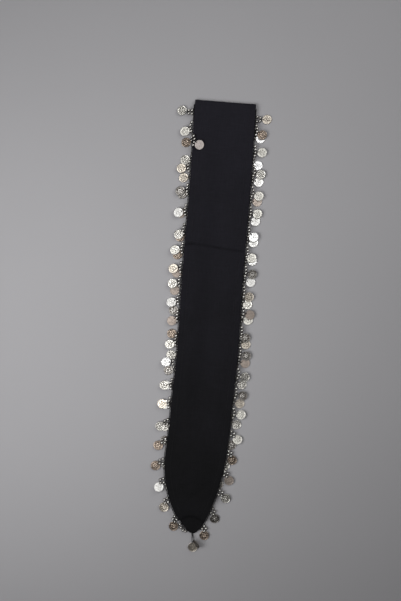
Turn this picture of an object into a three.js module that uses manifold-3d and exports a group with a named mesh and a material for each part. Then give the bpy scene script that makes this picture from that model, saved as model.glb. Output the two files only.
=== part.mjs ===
// A black cotton bandana edged with silver beads and coins, folded across its middle and laid flat.
//
// One long hemmed band, pointed at both ends, is folded so that its two halves lie on each other.
// Picots of two pairs of beads and one stamped coin hang from a thin edging cord all round it, and a thread
// at each point carries a pendant coin.
//
// Millimetres. X runs across the band and Y along it, with the points towards -Y. Z is up. The origin
// is on the flat underside, on the middle of the visible half.

import * as THREE from 'three';
import { mergeVertices } from 'three/addons/utils/BufferGeometryUtils.js';
import Module from 'manifold-3d';

const wasm = await Module();
wasm.setup();

// ---------------------------------------------------------------- driving sizes

const SEAM_GAP = 0.3; // clearance between neighbouring pieces

const BAND = {
  halfWidth: 38.7, // half of the hemmed width
  wall: 1.2, // cotton with its turnings pressed in
  foldToOrigin: 275,
  hemWidth: 9,
  hemFold: 0.5, // extra thickness of the hem, on the inner side
  hemRidge: 0.25, // what shows of it on the outer side of the upper half
  hemMost: 0.4, // share of the half width that the hem may take near a point
  taperPower: 0.7,
  tipStop: 1.5, // the point is blunt by this length
};

// Each half of the folded band: how far its point lies from the fold, how long its taper is, how far
// its edges lie inside the upper half's and how far it has slipped to the right. It slips gradually.
const HALVES = {
  upper: { length: 550, taper: 106, inset: 0, slip: 0 },
  under: { length: 522, taper: 150, inset: 2.7, slip: 0.9 },
};
const SLIP_LENGTH = 80; // length from the fold over which inset and slip come in

// Sideways drift of the band's centre line, measured down from the fold.
const SWAY = [
  { from: 0, x: 0 },
  { from: 105, x: 1.4 },
  { from: 215, x: 0.8 },
  { from: 320, x: 1.9 },
  { from: 400, x: -0.3 },
  { from: 484, x: -3.9 },
  { from: 512, x: -3.4 },
  { from: 550, x: 0.8 },
];

// Height of the upper half's lower face, along the band's middle and along its edges. Its edges ride
// on the beads of the under half, and its point drops to the surface.
const LIFT = [
  { from: 0, middle: 4.4, edge: 4.4 },
  { from: 28, middle: 3.4, edge: 4.9 },
  { from: 75, middle: 2.2, edge: 4.9 },
  { from: 350, middle: 2.2, edge: 4.9 },
  { from: 450, middle: 4.9, edge: 4.9 },
  { from: 522, middle: 4.9, edge: 4.9 },
  { from: 541, middle: 2.6, edge: 2.6 },
  { from: 550, middle: 1.4, edge: 1.4 },
];
const LIFT_REACH = 0.6; // share of the half width over which the middle rises to the edge

// Where the cloth's surface is sampled: steps down the band, lanes across half its width, and the bend.
const SECTIONS = {
  upper: { straightStep: 24, taperStep: 9, beforePoint: 5 },
  under: { straightStep: 30, taperStep: 16, beforePoint: 5 },
  creases: [-1.8, -0.8, 0, 0.8, 1.8], // in widths of the crease
  lanes: [0.25, 0.6],
  hemStep: 0.02, // share of the half width over which the hem thickens
  bendSteps: 6,
};

// An old fold line that crosses the upper half on a slant and fades towards the edges.
const CREASE = { from: 186, slant: 3, depth: 0.6, width: 4, fade: 0.8 };

const CORD = { width: 1.0, height: 1.0, toFold: 6, toPoint: 6 }; // edging cord along the hem
const THREAD_RADIUS = 0.4;
const BEAD = { radius: 1.9, pitch: 4.0 };
const COIN = { radius: 6, corner: 6.2, sides: 8, thickness: 0.8, holeInset: 1.6 };

// The four trimmed edges: where the first picot hangs and how far apart they are, along the edge from the
// fold, and how near the point the last may be.
const EDGES = [
  { half: 'upper', side: 'left', first: 17, pitch: 24.6, toPoint: 7 },
  { half: 'upper', side: 'right', first: 34, pitch: 25.6, toPoint: 7 },
  { half: 'under', side: 'left', first: 49, pitch: 24.2, toPoint: 10 },
  { half: 'under', side: 'right', first: 19, pitch: 25.6, toPoint: 10 },
];

// How the picots lie, half by half: reach is from the cloth's edge to the first bead, spread opens the
// loop along the edge, lean tips it towards the point, link is from its beads to the coin's hole, turn
// and swing turn the coin towards the point and to either side, pitch and roll tilt it, beads is the
// height of the beads' centres and rest the height of what the coin lies on. Angles are in degrees.
const LAY = [
  {
    half: 'upper', until: 30, reach: 3.0, spread: 10, lean: 4, link: 4.4,
    turn: 0, swing: 18, pitch: 8, roll: 2, beads: 5.2, rest: 1.9,
  },
  {
    half: 'upper', until: 395, reach: 2.4, spread: 76, lean: 4, link: 4.4,
    turn: 26, swing: 22, pitch: 8, roll: 2, beads: 6.2, rest: 2.8,
  },
  {
    half: 'upper', until: 512, reach: 2.3, spread: 6, lean: 16, link: 3.2,
    turn: 42, swing: 20, pitch: 4, roll: 3, beads: 3.9, rest: 1.8,
  },
  {
    half: 'upper', until: 560, reach: 2.3, spread: 6, lean: 20, link: 3.2,
    turn: 36, swing: 24, pitch: 8, roll: 6, beads: 2.1, rest: 0.3,
  },
  {
    half: 'under', until: 30, reach: 3.0, spread: 10, lean: 0, link: 4.4,
    turn: 0, swing: 14, pitch: 2, roll: 1, beads: 2.1, rest: 0.3,
  },
  {
    half: 'under', until: 560, reach: 2.3, spread: 76, lean: 4, link: 4.2,
    turn: 14, swing: 24, pitch: 2, roll: 1, beads: 2.1, rest: 0.3,
  },
];
const SCATTER = { run: 1.0, spread: 8, lean: 8 }; // how far each picot strays from its row in LAY

// Picots that stray from the even spacing: how far they slide along the edge, how far their loop spreads
// where it differs from LAY, which one has flipped over and lies on the cloth, and which has lost its coin.
const STRAYS = [
  { half: 'upper', side: 'left', index: 1, slide: -7 },
  { half: 'upper', side: 'left', index: 2, slide: -13.5, flipped: true },
  { half: 'upper', side: 'left', index: 3, slide: -5 },
  { half: 'upper', side: 'left', index: 9, slide: -7 },
  { half: 'upper', side: 'left', index: 10, slide: -8 },
  { half: 'upper', side: 'left', index: 11, slide: -12 },
  { half: 'upper', side: 'left', index: 12, slide: -6 },
  { half: 'upper', side: 'left', index: 13, slide: -2 },
  { half: 'upper', side: 'left', index: 22, slide: -8, spread: 64, bare: true },
  { half: 'upper', side: 'right', index: 20, slide: -3 },
  { half: 'under', side: 'left', index: 10, slide: 7 },
  { half: 'under', side: 'left', index: 11, slide: 6 },
  { half: 'under', side: 'left', index: 12, slide: 7 },
  { half: 'under', side: 'right', index: 1, slide: -7 },
];
const FLIPPED = { reach: -1.2, over: 1.7, rise: 7.6, heading: 38, pitch: 26 };

// Thread pendants at the two points: drop is from the cloth's point to the coin's hole.
const PENDANTS = [
  { name: 'pendant_upper', half: 'upper', coins: [
    { drop: 14, aside: 1.2, turn: 8, pitch: 9, roll: 5, rest: 0.3 },
    { drop: 9.5, aside: 3.6, turn: 34, pitch: 4, roll: 62, rest: 0.3 },
  ] },
  { name: 'pendant_under', half: 'under', coins: [
    { drop: 8, aside: 0, turn: -10, pitch: 2, roll: 2, rest: 0.3 },
  ] },
];
const KNOT = { radius: 1.0, length: 2.2, rest: 1.2 };

const LOOKS = {
  cotton: new THREE.MeshStandardMaterial({ color: 0x1d1c22, roughness: 0.95, metalness: 0 }),
  silver: new THREE.MeshStandardMaterial({ color: 0xc9c5bb, roughness: 0.3, metalness: 1 }),
};

const SIDES = { left: -1, right: 1 };
const UP = new THREE.Vector3(0, 0, 1);

// ---------------------------------------------------------------- small helpers

const smooth = (t) => t * t * (3 - 2 * t);
const mix = (a, b, t) => a + (b - a) * t;
const clamp = (t, low, high) => Math.min(Math.max(t, low), high);
const radians = THREE.MathUtils.degToRad;

/** Reads a column of a table at a place down the band, easing from row to row. */
function readTable(rows, column, place) {
  const next = rows.findIndex((row) => row.from > place);
  if (next === 0) return rows[0][column];
  if (next < 0) return rows[rows.length - 1][column];
  const [a, b] = [rows[next - 1], rows[next]];
  return mix(a[column], b[column], smooth((place - a.from) / (b.from - a.from)));
}

/** A repeatable scatter from -1 to 1 for one picot and one purpose. */
function scatter(index, purpose) {
  const value = Math.sin(index * 12.9898 + purpose * 78.233) * 43758.5453;
  return 2 * (value - Math.floor(value)) - 1;
}

// ---------------------------------------------------------------- the band's form

/** How far the slip of one half has come in, from 0 at the fold to 1. */
const slipped = (place) => smooth(clamp(place / SLIP_LENGTH, 0, 1));

/** Half the width of one half of the band, at a place measured down from the fold. */
function halfWidth(half, place) {
  const { length, taper, inset } = HALVES[half];
  const left = clamp((length - place) / taper, 0, 1);
  const share = (1 - (1 - left) ** 2) ** BAND.taperPower;
  return (BAND.halfWidth - inset * slipped(place)) * share;
}

/** Height of the upper half's lower face. */
function liftAt(place, x) {
  const across = Math.abs(x) / Math.max(halfWidth('upper', place), 1);
  const share = smooth(clamp(across / LIFT_REACH, 0, 1));
  const height = mix(readTable(LIFT, 'middle', place), readTable(LIFT, 'edge', place), share);
  const fromCrease = (place - CREASE.from - CREASE.slant * (x / BAND.halfWidth)) / CREASE.width;
  return height - CREASE.depth * (1 - CREASE.fade * share) * Math.exp(-fromCrease * fromCrease);
}

/** A point on the middle of one half's wall, x from the centre line. */
function wallPoint(half, place, x) {
  const z = half === 'upper' ? liftAt(place, x) + BAND.wall / 2 : BAND.wall / 2;
  const middle = readTable(SWAY, 'x', place) + HALVES[half].slip * slipped(place);
  return new THREE.Vector3(middle + x, BAND.foldToOrigin - place, z);
}

/** Radius of the bend at the fold, to the middle of the wall. */
const bendRadius = () => (wallPoint('upper', 0, 0).z - wallPoint('under', 0, 0).z) / 2;

/** How far down the band the bend reaches, so that its outer face is where the measuring starts. */
const bendReach = () => bendRadius() + BAND.wall / 2;

/** Outline of one edge of one half as { place, run, point }, run being the length from the fold. */
function traceEdge(half, side) {
  const step = 1;
  const trace = [];
  let run = 0;
  for (let place = 0; place <= HALVES[half].length - BAND.tipStop; place += step) {
    const point = wallPoint(half, place, SIDES[side] * halfWidth(half, place));
    const last = trace[trace.length - 1];
    if (last) run += Math.hypot(point.x - last.point.x, point.y - last.point.y);
    trace.push({ place, run, point });
  }
  return trace;
}

/** The frame where a trace reads a run or a place: the point, and plan directions along and out. */
function edgeFrame(trace, side, column, reading) {
  const found = trace.findIndex((row) => row[column] > reading);
  const next = found < 0 ? trace.length - 1 : Math.max(found, 1);
  const [a, b] = [trace[next - 1], trace[next]];
  const share = (reading - a[column]) / (b[column] - a[column]);
  const along = b.point.clone().sub(a.point).setZ(0).normalize();
  const out = new THREE.Vector3(-along.y, along.x, 0).multiplyScalar(SIDES[side]);
  return { point: a.point.clone().lerp(b.point, share), place: mix(a.place, b.place, share), along, out };
}

// ---------------------------------------------------------------- solids

/** A closed body through rings of points, all with the same count, with flat ends. */
function loft(rings) {
  const count = rings[0].length;
  const positions = rings.flat().flatMap((p) => [p.x, p.y, p.z]);
  const index = [];
  for (let r = 0; r < rings.length - 1; r++) {
    for (let i = 0; i < count; i++) {
      const [a, b] = [r * count + i, r * count + ((i + 1) % count)];
      index.push(a, b, a + count, b, b + count, a + count);
    }
  }
  const last = (rings.length - 1) * count;
  for (let i = 0; i < count / 2 - 1; i++) {
    const j = count - 1 - i; // pairs the points across the ring, so that thin ends stay tidy
    index.push(i, j, i + 1, i + 1, j, j - 1);
    index.push(last + i, last + i + 1, last + j, last + i + 1, last + j - 1, last + j);
  }
  const geometry = new THREE.BufferGeometry();
  geometry.setAttribute('position', new THREE.Float32BufferAttribute(positions, 3));
  geometry.setIndex(index);
  return geometry;
}

/** Four-pointed rings square to a strand that runs through stops, each with a point and a radius. */
function strandRings(stops) {
  return stops.map(({ point, radius }, i) => {
    const before = stops[Math.max(i - 1, 0)].point;
    const after = stops[Math.min(i + 1, stops.length - 1)].point;
    const way = after.clone().sub(before).normalize();
    const across = way.clone().cross(UP).normalize();
    const above = across.clone().cross(way);
    return [[above, -radius], [across, -radius], [above, radius], [across, radius]]
      .map(([direction, size]) => point.clone().addScaledVector(direction, size));
  });
}

/** Turns a closed geometry into a manifold solid. */
function toSolid(geometry) {
  const bare = new THREE.BufferGeometry();
  bare.setAttribute('position', geometry.getAttribute('position'));
  bare.setIndex(geometry.getIndex());
  const merged = mergeVertices(bare, 1e-5);
  return new wasm.Manifold(new wasm.Mesh({
    numProp: 3,
    vertProperties: merged.getAttribute('position').array,
    triVerts: Uint32Array.from(merged.getIndex().array),
  }));
}

/** Joins geometries into one closed body. */
function join(geometries) {
  const mesh = wasm.Manifold.union(geometries.map(toSolid)).getMesh();
  const geometry = new THREE.BufferGeometry();
  geometry.setAttribute('position', new THREE.BufferAttribute(Float32Array.from(mesh.vertProperties), 3));
  geometry.setIndex(new THREE.BufferAttribute(Uint32Array.from(mesh.triVerts), 1));
  return geometry;
}

function named(name, geometry, material) {
  geometry.computeVertexNormals();
  const mesh = new THREE.Mesh(geometry, material);
  mesh.name = name;
  return mesh;
}

// ---------------------------------------------------------------- band

/** Places down one half at which the cloth gets a section, from the end of the bend to the point. */
function sectionPlaces(half) {
  const { length, taper } = HALVES[half];
  const { straightStep, taperStep, beforePoint } = SECTIONS[half];
  const taperStart = length - taper;
  const creases = half === 'upper' ? SECTIONS.creases.map((n) => CREASE.from + n * CREASE.width) : [];
  const places = [bendReach(), ...creases];
  for (let place = straightStep; place < taperStart; place += straightStep) {
    const clearOfCreases = creases.every((crease) => Math.abs(crease - place) > straightStep / 2);
    if (clearOfCreases) places.push(place);
  }
  for (let place = taperStart; place < length - beforePoint; place += taperStep) places.push(place);
  places.push(length - beforePoint, length - BAND.tipStop);
  return places.sort((a, b) => a - b);
}

/** One section of the cloth: the inner face from left to right, then the outer face back. */
function clothRing(half, place, toPoint, inward) {
  const width = halfWidth(half, place);
  const hemShare = 1 - Math.min(BAND.hemWidth, width * BAND.hemMost) / width;
  const rightLanes = [...SECTIONS.lanes, hemShare, hemShare + SECTIONS.hemStep, 1];
  const lanes = [...rightLanes.map((lane) => -lane).reverse(), ...rightLanes];
  const inHem = (lane) => Math.abs(lane) > hemShare;
  const ridge = half === 'upper' && place > 0 ? BAND.hemRidge : 0;
  const outer = lanes.map((lane) => toPoint(lane * width)
    .addScaledVector(inward, -BAND.wall / 2 - (inHem(lane) ? ridge : 0)));
  const inner = lanes.map((lane) => toPoint(lane * width)
    .addScaledVector(inward, BAND.wall / 2 + (inHem(lane) ? BAND.hemFold : 0)));
  return [...inner, ...outer.reverse()];
}

/** The whole folded cloth: under half, fold and upper half in one wall. */
function makeCloth() {
  const inwardUnder = UP;
  const inwardUpper = UP.clone().negate();
  const rings = sectionPlaces('under').reverse()
    .map((place) => clothRing('under', place, (x) => wallPoint('under', place, x), inwardUnder));
  const radius = bendRadius();
  const centre = wallPoint('under', bendReach(), 0).add(new THREE.Vector3(0, 0, radius));
  for (let i = 1; i < SECTIONS.bendSteps; i++) {
    const angle = (Math.PI * i) / SECTIONS.bendSteps;
    const inward = new THREE.Vector3(0, -Math.sin(angle), Math.cos(angle));
    const toPoint = (x) => centre.clone().addScaledVector(inward, -radius).setX(x);
    rings.push(clothRing(i < SECTIONS.bendSteps / 2 ? 'under' : 'upper', 0, toPoint, inward));
  }
  for (const place of sectionPlaces('upper')) {
    rings.push(clothRing('upper', place, (x) => wallPoint('upper', place, x), inwardUpper));
  }
  return loft(rings);
}

// ---------------------------------------------------------------- trim

/** The edging cord that the picots hang from, clear of the cloth's edge and bent where the cloth bends. */
function makeCord(half, side, trace) {
  const middle = SEAM_GAP + CORD.width / 2;
  const ends = [CORD.toFold, HALVES[half].length - CORD.toPoint];
  const between = sectionPlaces(half).filter((place) => place > ends[0] && place < ends[1]);
  return loft([ends[0], ...between, ends[1]].map((place) => {
    const frame = edgeFrame(trace, side, 'place', place);
    const corner = (outShare, upShare) => frame.point.clone()
      .addScaledVector(frame.out, middle + outShare * CORD.width / 2)
      .addScaledVector(UP, upShare * CORD.height / 2);
    const ring = [corner(-1, -1), corner(1, -1), corner(1, 1), corner(-1, 1)];
    return side === 'left' ? ring.reverse() : ring;
  }));
}

/** A thread through stops, widening into the rim of the coin that hangs from it; pitch and roll tilt it. */
function hangCoin(thread, { hole, heading, pitch, roll }) {
  const radial = heading.clone().multiplyScalar(Math.cos(pitch)).addScaledVector(UP, -Math.sin(pitch));
  const across = radial.clone().cross(UP).normalize().applyAxisAngle(radial, roll);
  const above = across.clone().cross(radial);
  const centre = hole.clone().addScaledVector(radial, COIN.radius - COIN.holeInset);
  const disc = Array.from({ length: COIN.sides / 2 }, (_, i) => {
    const angle = ((i + 0.5) * 2 * Math.PI) / COIN.sides;
    const middle = centre.clone().addScaledVector(radial, -COIN.corner * Math.cos(angle));
    return [[-1, -1], [-1, 1], [1, 1], [1, -1]].map(([aside, up]) => middle.clone()
      .addScaledVector(across, aside * COIN.corner * Math.sin(angle))
      .addScaledVector(above, (up * COIN.thickness) / 2));
  });
  const rim = { point: centre.clone().addScaledVector(radial, -COIN.corner), radius: THREAD_RADIUS };
  return loft([...strandRings([...thread, rim]).slice(0, -1), ...disc]);
}

/** Height of a tilted coin's hole above what the coin rests on. */
function holeHeight(rest, pitch, roll) {
  const tilt = Math.abs(Math.sin(pitch)) + Math.abs(Math.sin(roll));
  const middle = rest + COIN.thickness / 2 + COIN.radius * tilt;
  return middle + (COIN.radius - COIN.holeInset) * Math.sin(pitch);
}

/** The picots of one edge, each with its place in the edge's frame and how it lies. */
function planPicots({ half, side, first, pitch, toPoint }, trace) {
  const picots = [];
  const last = trace[trace.length - 1].run - toPoint;
  const salt = (half === 'upper' ? 0 : 40) + (side === 'left' ? 0 : 80);
  for (let index = 0; ; index++) {
    const stray = STRAYS.find((row) => row.half === half && row.side === side && row.index === index);
    const { slide, spread, flipped, bare } = stray ?? { slide: 0 };
    const run = first + index * pitch + slide + SCATTER.run * scatter(index + salt, 1);
    if (run > last) return picots;
    const frame = edgeFrame(trace, side, 'run', run);
    const row = LAY.find((entry) => entry.half === half && frame.place < entry.until);
    const lean = row.lean + SCATTER.lean * scatter(index + salt, 3);
    picots.push({
      ...row,
      frame,
      flipped,
      bare,
      spread: radians(spread ?? Math.abs(row.spread + SCATTER.spread * scatter(index + salt, 2))),
      lean: radians(lean),
      heading: radians(flipped ? FLIPPED.heading : lean + row.turn + row.swing * scatter(index + salt, 4)),
      pitch: radians(flipped ? FLIPPED.pitch : row.pitch * (0.7 + 0.3 * scatter(index + salt, 5))),
      roll: radians(row.roll * scatter(index + salt, 6)),
    });
  }
}

/** One picot: a strand as thick as its four beads, out from the cord and back, and the coin on it. */
function makePicot(picot) {
  const { frame, flipped, spread, lean, link, pitch, roll } = picot;
  const clothTop = frame.point.z + BAND.wall / 2 + BAND.hemRidge + SEAM_GAP;
  const height = flipped ? clothTop + BEAD.radius : picot.beads;
  const reach = flipped ? FLIPPED.reach : picot.reach;
  const away = flipped ? -1 : 1; // the way that the picot lies from its first beads
  const at = (along, out, z) => frame.point.clone().setZ(z)
    .addScaledVector(frame.along, along).addScaledVector(frame.out, out);
  const towards = (angle) => frame.along.clone().multiplyScalar(Math.sin(angle))
    .addScaledVector(frame.out, away * Math.cos(angle));

  // The outer beads stand either side of the middle pair, which lies further along the lean.
  const aside = BEAD.pitch * (0.5 + Math.sin(spread));
  const middle = at(0, reach, height).addScaledVector(towards(lean), BEAD.pitch * Math.cos(spread));
  const pair = [-1, 1].map((way) => middle.clone().addScaledVector(frame.along, way * BEAD.pitch / 2));
  const roots = [-1, 1].map((way) => {
    const leg = [{ point: at(way * aside, SEAM_GAP + CORD.width / 2, frame.point.z), radius: THREAD_RADIUS }];
    if (flipped) leg.push({ point: at(way * aside, FLIPPED.over, FLIPPED.rise), radius: THREAD_RADIUS });
    leg.push({ point: at(way * aside, reach, height), radius: BEAD.radius });
    return leg;
  });
  const beads = pair.map((point) => ({ point, radius: BEAD.radius }));
  const loop = loft(strandRings([...roots[0], ...beads, ...roots[1].reverse()]));

  if (picot.bare) return [loop];
  const heading = towards(picot.heading);
  const hole = middle.clone().addScaledVector(heading, link)
    .setZ(holeHeight(flipped ? clothTop : picot.rest, pitch, roll));
  return [loop, hangCoin([{ point: middle, radius: THREAD_RADIUS }], { hole, heading, pitch, roll })];
}

/** The whole trim of one edge of one half, in one body. */
function makeTrim(edge) {
  const { half, side } = edge;
  const trace = traceEdge(half, side);
  const picots = planPicots(edge, trace).flatMap(makePicot);
  return join([makeCord(half, side, trace), ...picots]);
}

/** A knot at a point of the band, with threads down to its hanging coins. */
function makePendant({ half, coins }) {
  const tip = wallPoint(half, HALVES[half].length - BAND.tipStop, 0);
  const down = new THREE.Vector3(0, -1, 0);
  const knotStart = tip.clone().setZ(Math.max(tip.z, KNOT.rest)).addScaledVector(down, SEAM_GAP);
  const knotEnd = knotStart.clone().addScaledVector(down, KNOT.length);
  const pieces = [loft(strandRings([
    { point: knotStart, radius: KNOT.radius },
    { point: knotEnd, radius: KNOT.radius },
  ]))];
  coins.forEach(({ drop, aside, turn, pitch, roll, rest }) => {
    const tilt = { pitch: radians(pitch), roll: radians(roll) };
    const hole = tip.clone().addScaledVector(down, drop).setZ(holeHeight(rest, tilt.pitch, tilt.roll));
    hole.x += aside;
    const heading = down.clone().applyAxisAngle(UP, radians(turn));
    const thread = [knotEnd.clone().lerp(knotStart, 0.5), knotEnd.clone().lerp(hole, 0.5)]
      .map((point) => ({ point, radius: THREAD_RADIUS }));
    pieces.push(hangCoin(thread, { hole, heading, ...tilt }));
  });
  return join(pieces);
}

// ---------------------------------------------------------------- assembly

const bandana = new THREE.Group();
bandana.add(named('band_cloth', makeCloth(), LOOKS.cotton));
for (const edge of EDGES) {
  bandana.add(named(`trim_${edge.half}_${edge.side}`, makeTrim(edge), LOOKS.silver));
}
for (const pendant of PENDANTS) bandana.add(named(pendant.name, makePendant(pendant), LOOKS.silver));

export default bandana;
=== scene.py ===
"""A black cotton bandana edged with silver beads and coins, folded in two and laid flat.

Sizes are in millimetres and meshes are scaled to metres when they are made. X runs across the band and Y
along it, with its points towards -Y, and Z is up from the surface that the band lies on. A "place" is a
distance down one half of the band, measured from the fold.
"""

import logging
import math
from collections.abc import Callable, Iterable, Sequence
from dataclasses import dataclass, field
from enum import Enum

import bpy
import numpy as np
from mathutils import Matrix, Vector, noise
from mathutils.geometry import delaunay_2d_cdt


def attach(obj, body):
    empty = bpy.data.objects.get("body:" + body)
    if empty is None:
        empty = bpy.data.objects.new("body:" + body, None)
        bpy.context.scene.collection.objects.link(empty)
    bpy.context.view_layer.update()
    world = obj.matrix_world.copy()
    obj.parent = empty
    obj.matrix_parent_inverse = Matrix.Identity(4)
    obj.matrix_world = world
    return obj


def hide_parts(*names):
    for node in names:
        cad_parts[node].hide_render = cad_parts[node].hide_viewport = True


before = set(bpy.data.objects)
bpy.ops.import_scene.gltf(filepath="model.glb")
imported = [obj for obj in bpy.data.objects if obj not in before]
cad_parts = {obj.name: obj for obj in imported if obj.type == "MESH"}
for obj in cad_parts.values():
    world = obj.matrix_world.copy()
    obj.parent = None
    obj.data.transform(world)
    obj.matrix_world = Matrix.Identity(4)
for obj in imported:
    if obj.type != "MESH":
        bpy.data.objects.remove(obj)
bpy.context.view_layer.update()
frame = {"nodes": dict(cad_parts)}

LOG = logging.getLogger("bandana")
MM = 0.001
UP = np.array([0.0, 0.0, 1.0])
SEAM_GAP = 0.3
Array = np.ndarray


class Half(Enum):
    """The two halves of the folded band."""

    UPPER = "upper"
    UNDER = "under"


class Side(Enum):
    """The two long edges of the band; the value is the sign of X."""

    LEFT = -1
    RIGHT = 1


class Tone(Enum):
    """How a coin looks: its colour, roughness, turn to the light, relief and how far up tarnish covers it."""

    WHITE = ((0.97, 0.96, 0.93), 0.30, 1.0, 0.5, -0.25)
    PALE = ((0.93, 0.91, 0.84), 0.34, 0.5, 0.8, -0.15)
    SILVER = ((0.88, 0.86, 0.80), 0.18, 0.0, 1.0, 0.10)
    CHAMPAGNE = ((0.80, 0.73, 0.63), 0.26, 0.0, 0.8, -0.05)
    BACK = ((0.98, 0.90, 0.86), 0.55, 0.25, 0.2, -1.0)
    ROSE = ((0.50, 0.43, 0.38), 0.45, 0.0, 0.4, -0.6)
    BRONZE = ((0.60, 0.49, 0.40), 0.20, 0.0, 1.0, 0.50)
    DARK = ((0.92, 0.89, 0.84), 0.16, 0.0, 1.0, 0.75)


TONE_CODES = {
    "W": Tone.WHITE, "P": Tone.PALE, "S": Tone.SILVER, "C": Tone.CHAMPAGNE, "R": Tone.ROSE, "B": Tone.BRONZE,
    "D": Tone.DARK, "F": Tone.BACK,
}


# ---------------------------------------------------------------- small helpers


def smooth(t: float) -> float:
    """Eases a share from 0 to 1."""
    return t * t * (3 - 2 * t)


def clamp(t: float, low: float = 0.0, high: float = 1.0) -> float:
    """Keeps a number between low and high."""
    return min(max(t, low), high)


def mix(a: float, b: float, t: float) -> float:
    """Goes from a to b by the share t."""
    return a + (b - a) * t


def unit(v: Array) -> Array:
    """Scales a vector to length 1."""
    return v / max(float(np.linalg.norm(v)), 1e-12)


def turned(v: Array, axis: Array, angle: float) -> Array:
    """Turns a vector about a unit axis by an angle in radians."""
    along = axis * float(np.dot(axis, v))
    return along + (v - along) * math.cos(angle) + np.cross(axis, v) * math.sin(angle)


def read_table(rows: Sequence[tuple[float, ...]], column: int, place: float) -> float:
    """Reads a column of a table at a place, easing from row to row.

    Args:
        rows: rows that start with their place, in order.
        column: the column to read.
        place: where to read it.

    Returns:
        The value there.
    """
    if place < rows[0][0]:
        return rows[0][column]
    for before, after in zip(rows, rows[1:]):
        if place < after[0]:
            return mix(before[column], after[column], smooth((place - before[0]) / (after[0] - before[0])))
    return rows[-1][column]


def scatter(index: float, purpose: float) -> float:
    """A repeatable scatter from -1 to 1 for one item and one purpose, both numbered."""
    value = math.sin(index * 12.9898 + purpose * 78.233) * 43758.5453
    return 2 * (value - math.floor(value)) - 1


# ---------------------------------------------------------------- meshes


@dataclass
class MeshDraft:
    """Points, faces and point values gathered for one mesh, in millimetres."""

    points: list[Array] = field(default_factory=list)
    faces: list[tuple[int, ...]] = field(default_factory=list)
    values: dict[str, list[Array]] = field(default_factory=dict)
    count: int = 0

    def add(self, points: Array, faces: Iterable[Sequence[int]], **values: Array) -> None:
        """Adds a body.

        Args:
            points: its points.
            faces: its faces, numbered from its own first point.
            **values: a value for each point, or one for all of them, by name.
        """
        size = len(points)
        self.points.append(points)
        self.faces.extend(tuple(i + self.count for i in face) for face in faces)
        for name, value in values.items():
            self.values.setdefault(name, []).append(np.broadcast_to(value, (size, *np.shape(value)[-1:]))
                                                    if np.ndim(value) != 1 or len(value) != size else value)
        self.count += size

    def build(self, name: str, material: bpy.types.Material) -> bpy.types.Object:
        """Makes the object.

        Args:
            name: the piece's name.
            material: its finish.

        Returns:
            The object, linked to the scene.
        """
        mesh = bpy.data.meshes.new(name)
        mesh.from_pydata((np.vstack(self.points) * MM).tolist(), [], self.faces)
        for key, parts in self.values.items():
            data = np.concatenate(parts)
            if data.ndim == 1:
                mesh.attributes.new(key, "FLOAT", "POINT").data.foreach_set("value", data.astype(np.float32))
            else:
                colours = np.hstack([data, np.ones((len(data), 1))]).astype(np.float32)
                mesh.attributes.new(key, "FLOAT_COLOR", "POINT").data.foreach_set("color", colours.ravel())
        mesh.shade_smooth()
        mesh.materials.append(material)
        piece = bpy.data.objects.new(name, mesh)
        bpy.context.scene.collection.objects.link(piece)
        LOG.info("%s: %d faces", name, len(mesh.polygons))
        return piece


def ring_faces(rings: int, count: int) -> list[tuple[int, ...]]:
    """Faces of a body through rings of points, with its ends closed.

    Args:
        rings: how many rings there are.
        count: how many points are in each.

    Returns:
        The faces.
    """
    faces = [(a + i, a + (i + 1) % count, a + count + (i + 1) % count, a + count + i)
             for a in range(0, (rings - 1) * count, count) for i in range(count)]
    last = (rings - 1) * count
    return [*faces, tuple(range(count - 1, -1, -1)), tuple(range(last, last + count))]


def tube(path: Array, radius: float | Array, sides: int = 6) -> tuple[Array, list[tuple[int, ...]]]:
    """A round strand along a path.

    Args:
        path: the points on its middle.
        radius: its radius, or one for each point.
        sides: how many sides it has.

    Returns:
        Its points and faces.
    """
    ways = np.gradient(path, axis=0)
    ways /= np.maximum(np.linalg.norm(ways, axis=1, keepdims=True), 1e-9)
    across = unit(np.cross(ways[0], UP if abs(ways[0][2]) < 0.9 else np.array([1.0, 0.0, 0.0])))
    radii = np.broadcast_to(radius, len(path))
    angles = np.arange(sides) * 2 * math.pi / sides
    rings = []
    for point, way, size in zip(path, ways, radii):
        across = unit(across - way * float(np.dot(across, way)))
        other = np.cross(way, across)
        rings.append(point + size * (np.outer(np.cos(angles), across) + np.outer(np.sin(angles), other)))
    return np.vstack(rings), ring_faces(len(path), sides)


def eased_path(stops: Sequence[Array], steps: int = 4) -> Array:
    """A smooth path through stops.

    Args:
        stops: the points that it passes through.
        steps: how many points there are from one stop to the next.

    Returns:
        The points of the path.
    """
    held = [2 * stops[0] - stops[1], *stops, 2 * stops[-1] - stops[-2]]
    path = []
    for before, start, end, after in zip(held, held[1:], held[2:], held[3:]):
        for t in np.arange(steps) / steps:
            bend = (2 * before - 5 * start + 4 * end - after) * t**2
            path.append(0.5 * (2 * start + (end - before) * t + bend
                               + (3 * start - before - 3 * end + after) * t**3))
    return np.array([*path, stops[-1]])


# ---------------------------------------------------------------- the band's form


@dataclass(frozen=True)
class Cut:
    """One half of the band: its length from the fold, its taper and how it has slipped from the other."""

    length: float
    taper: float
    inset: float
    slip: float


@dataclass(frozen=True)
class EdgeFrame:
    """A point on an edge of the band, with the plan directions along the edge and out of the cloth."""

    point: Array
    place: float
    along: Array
    out: Array

    def at(self, along: float, out: float, height: float) -> Array:
        """A point by its distances along the edge and out of it, and its height."""
        point = self.point + self.along * along + self.out * out
        return np.array([point[0], point[1], height])


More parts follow.
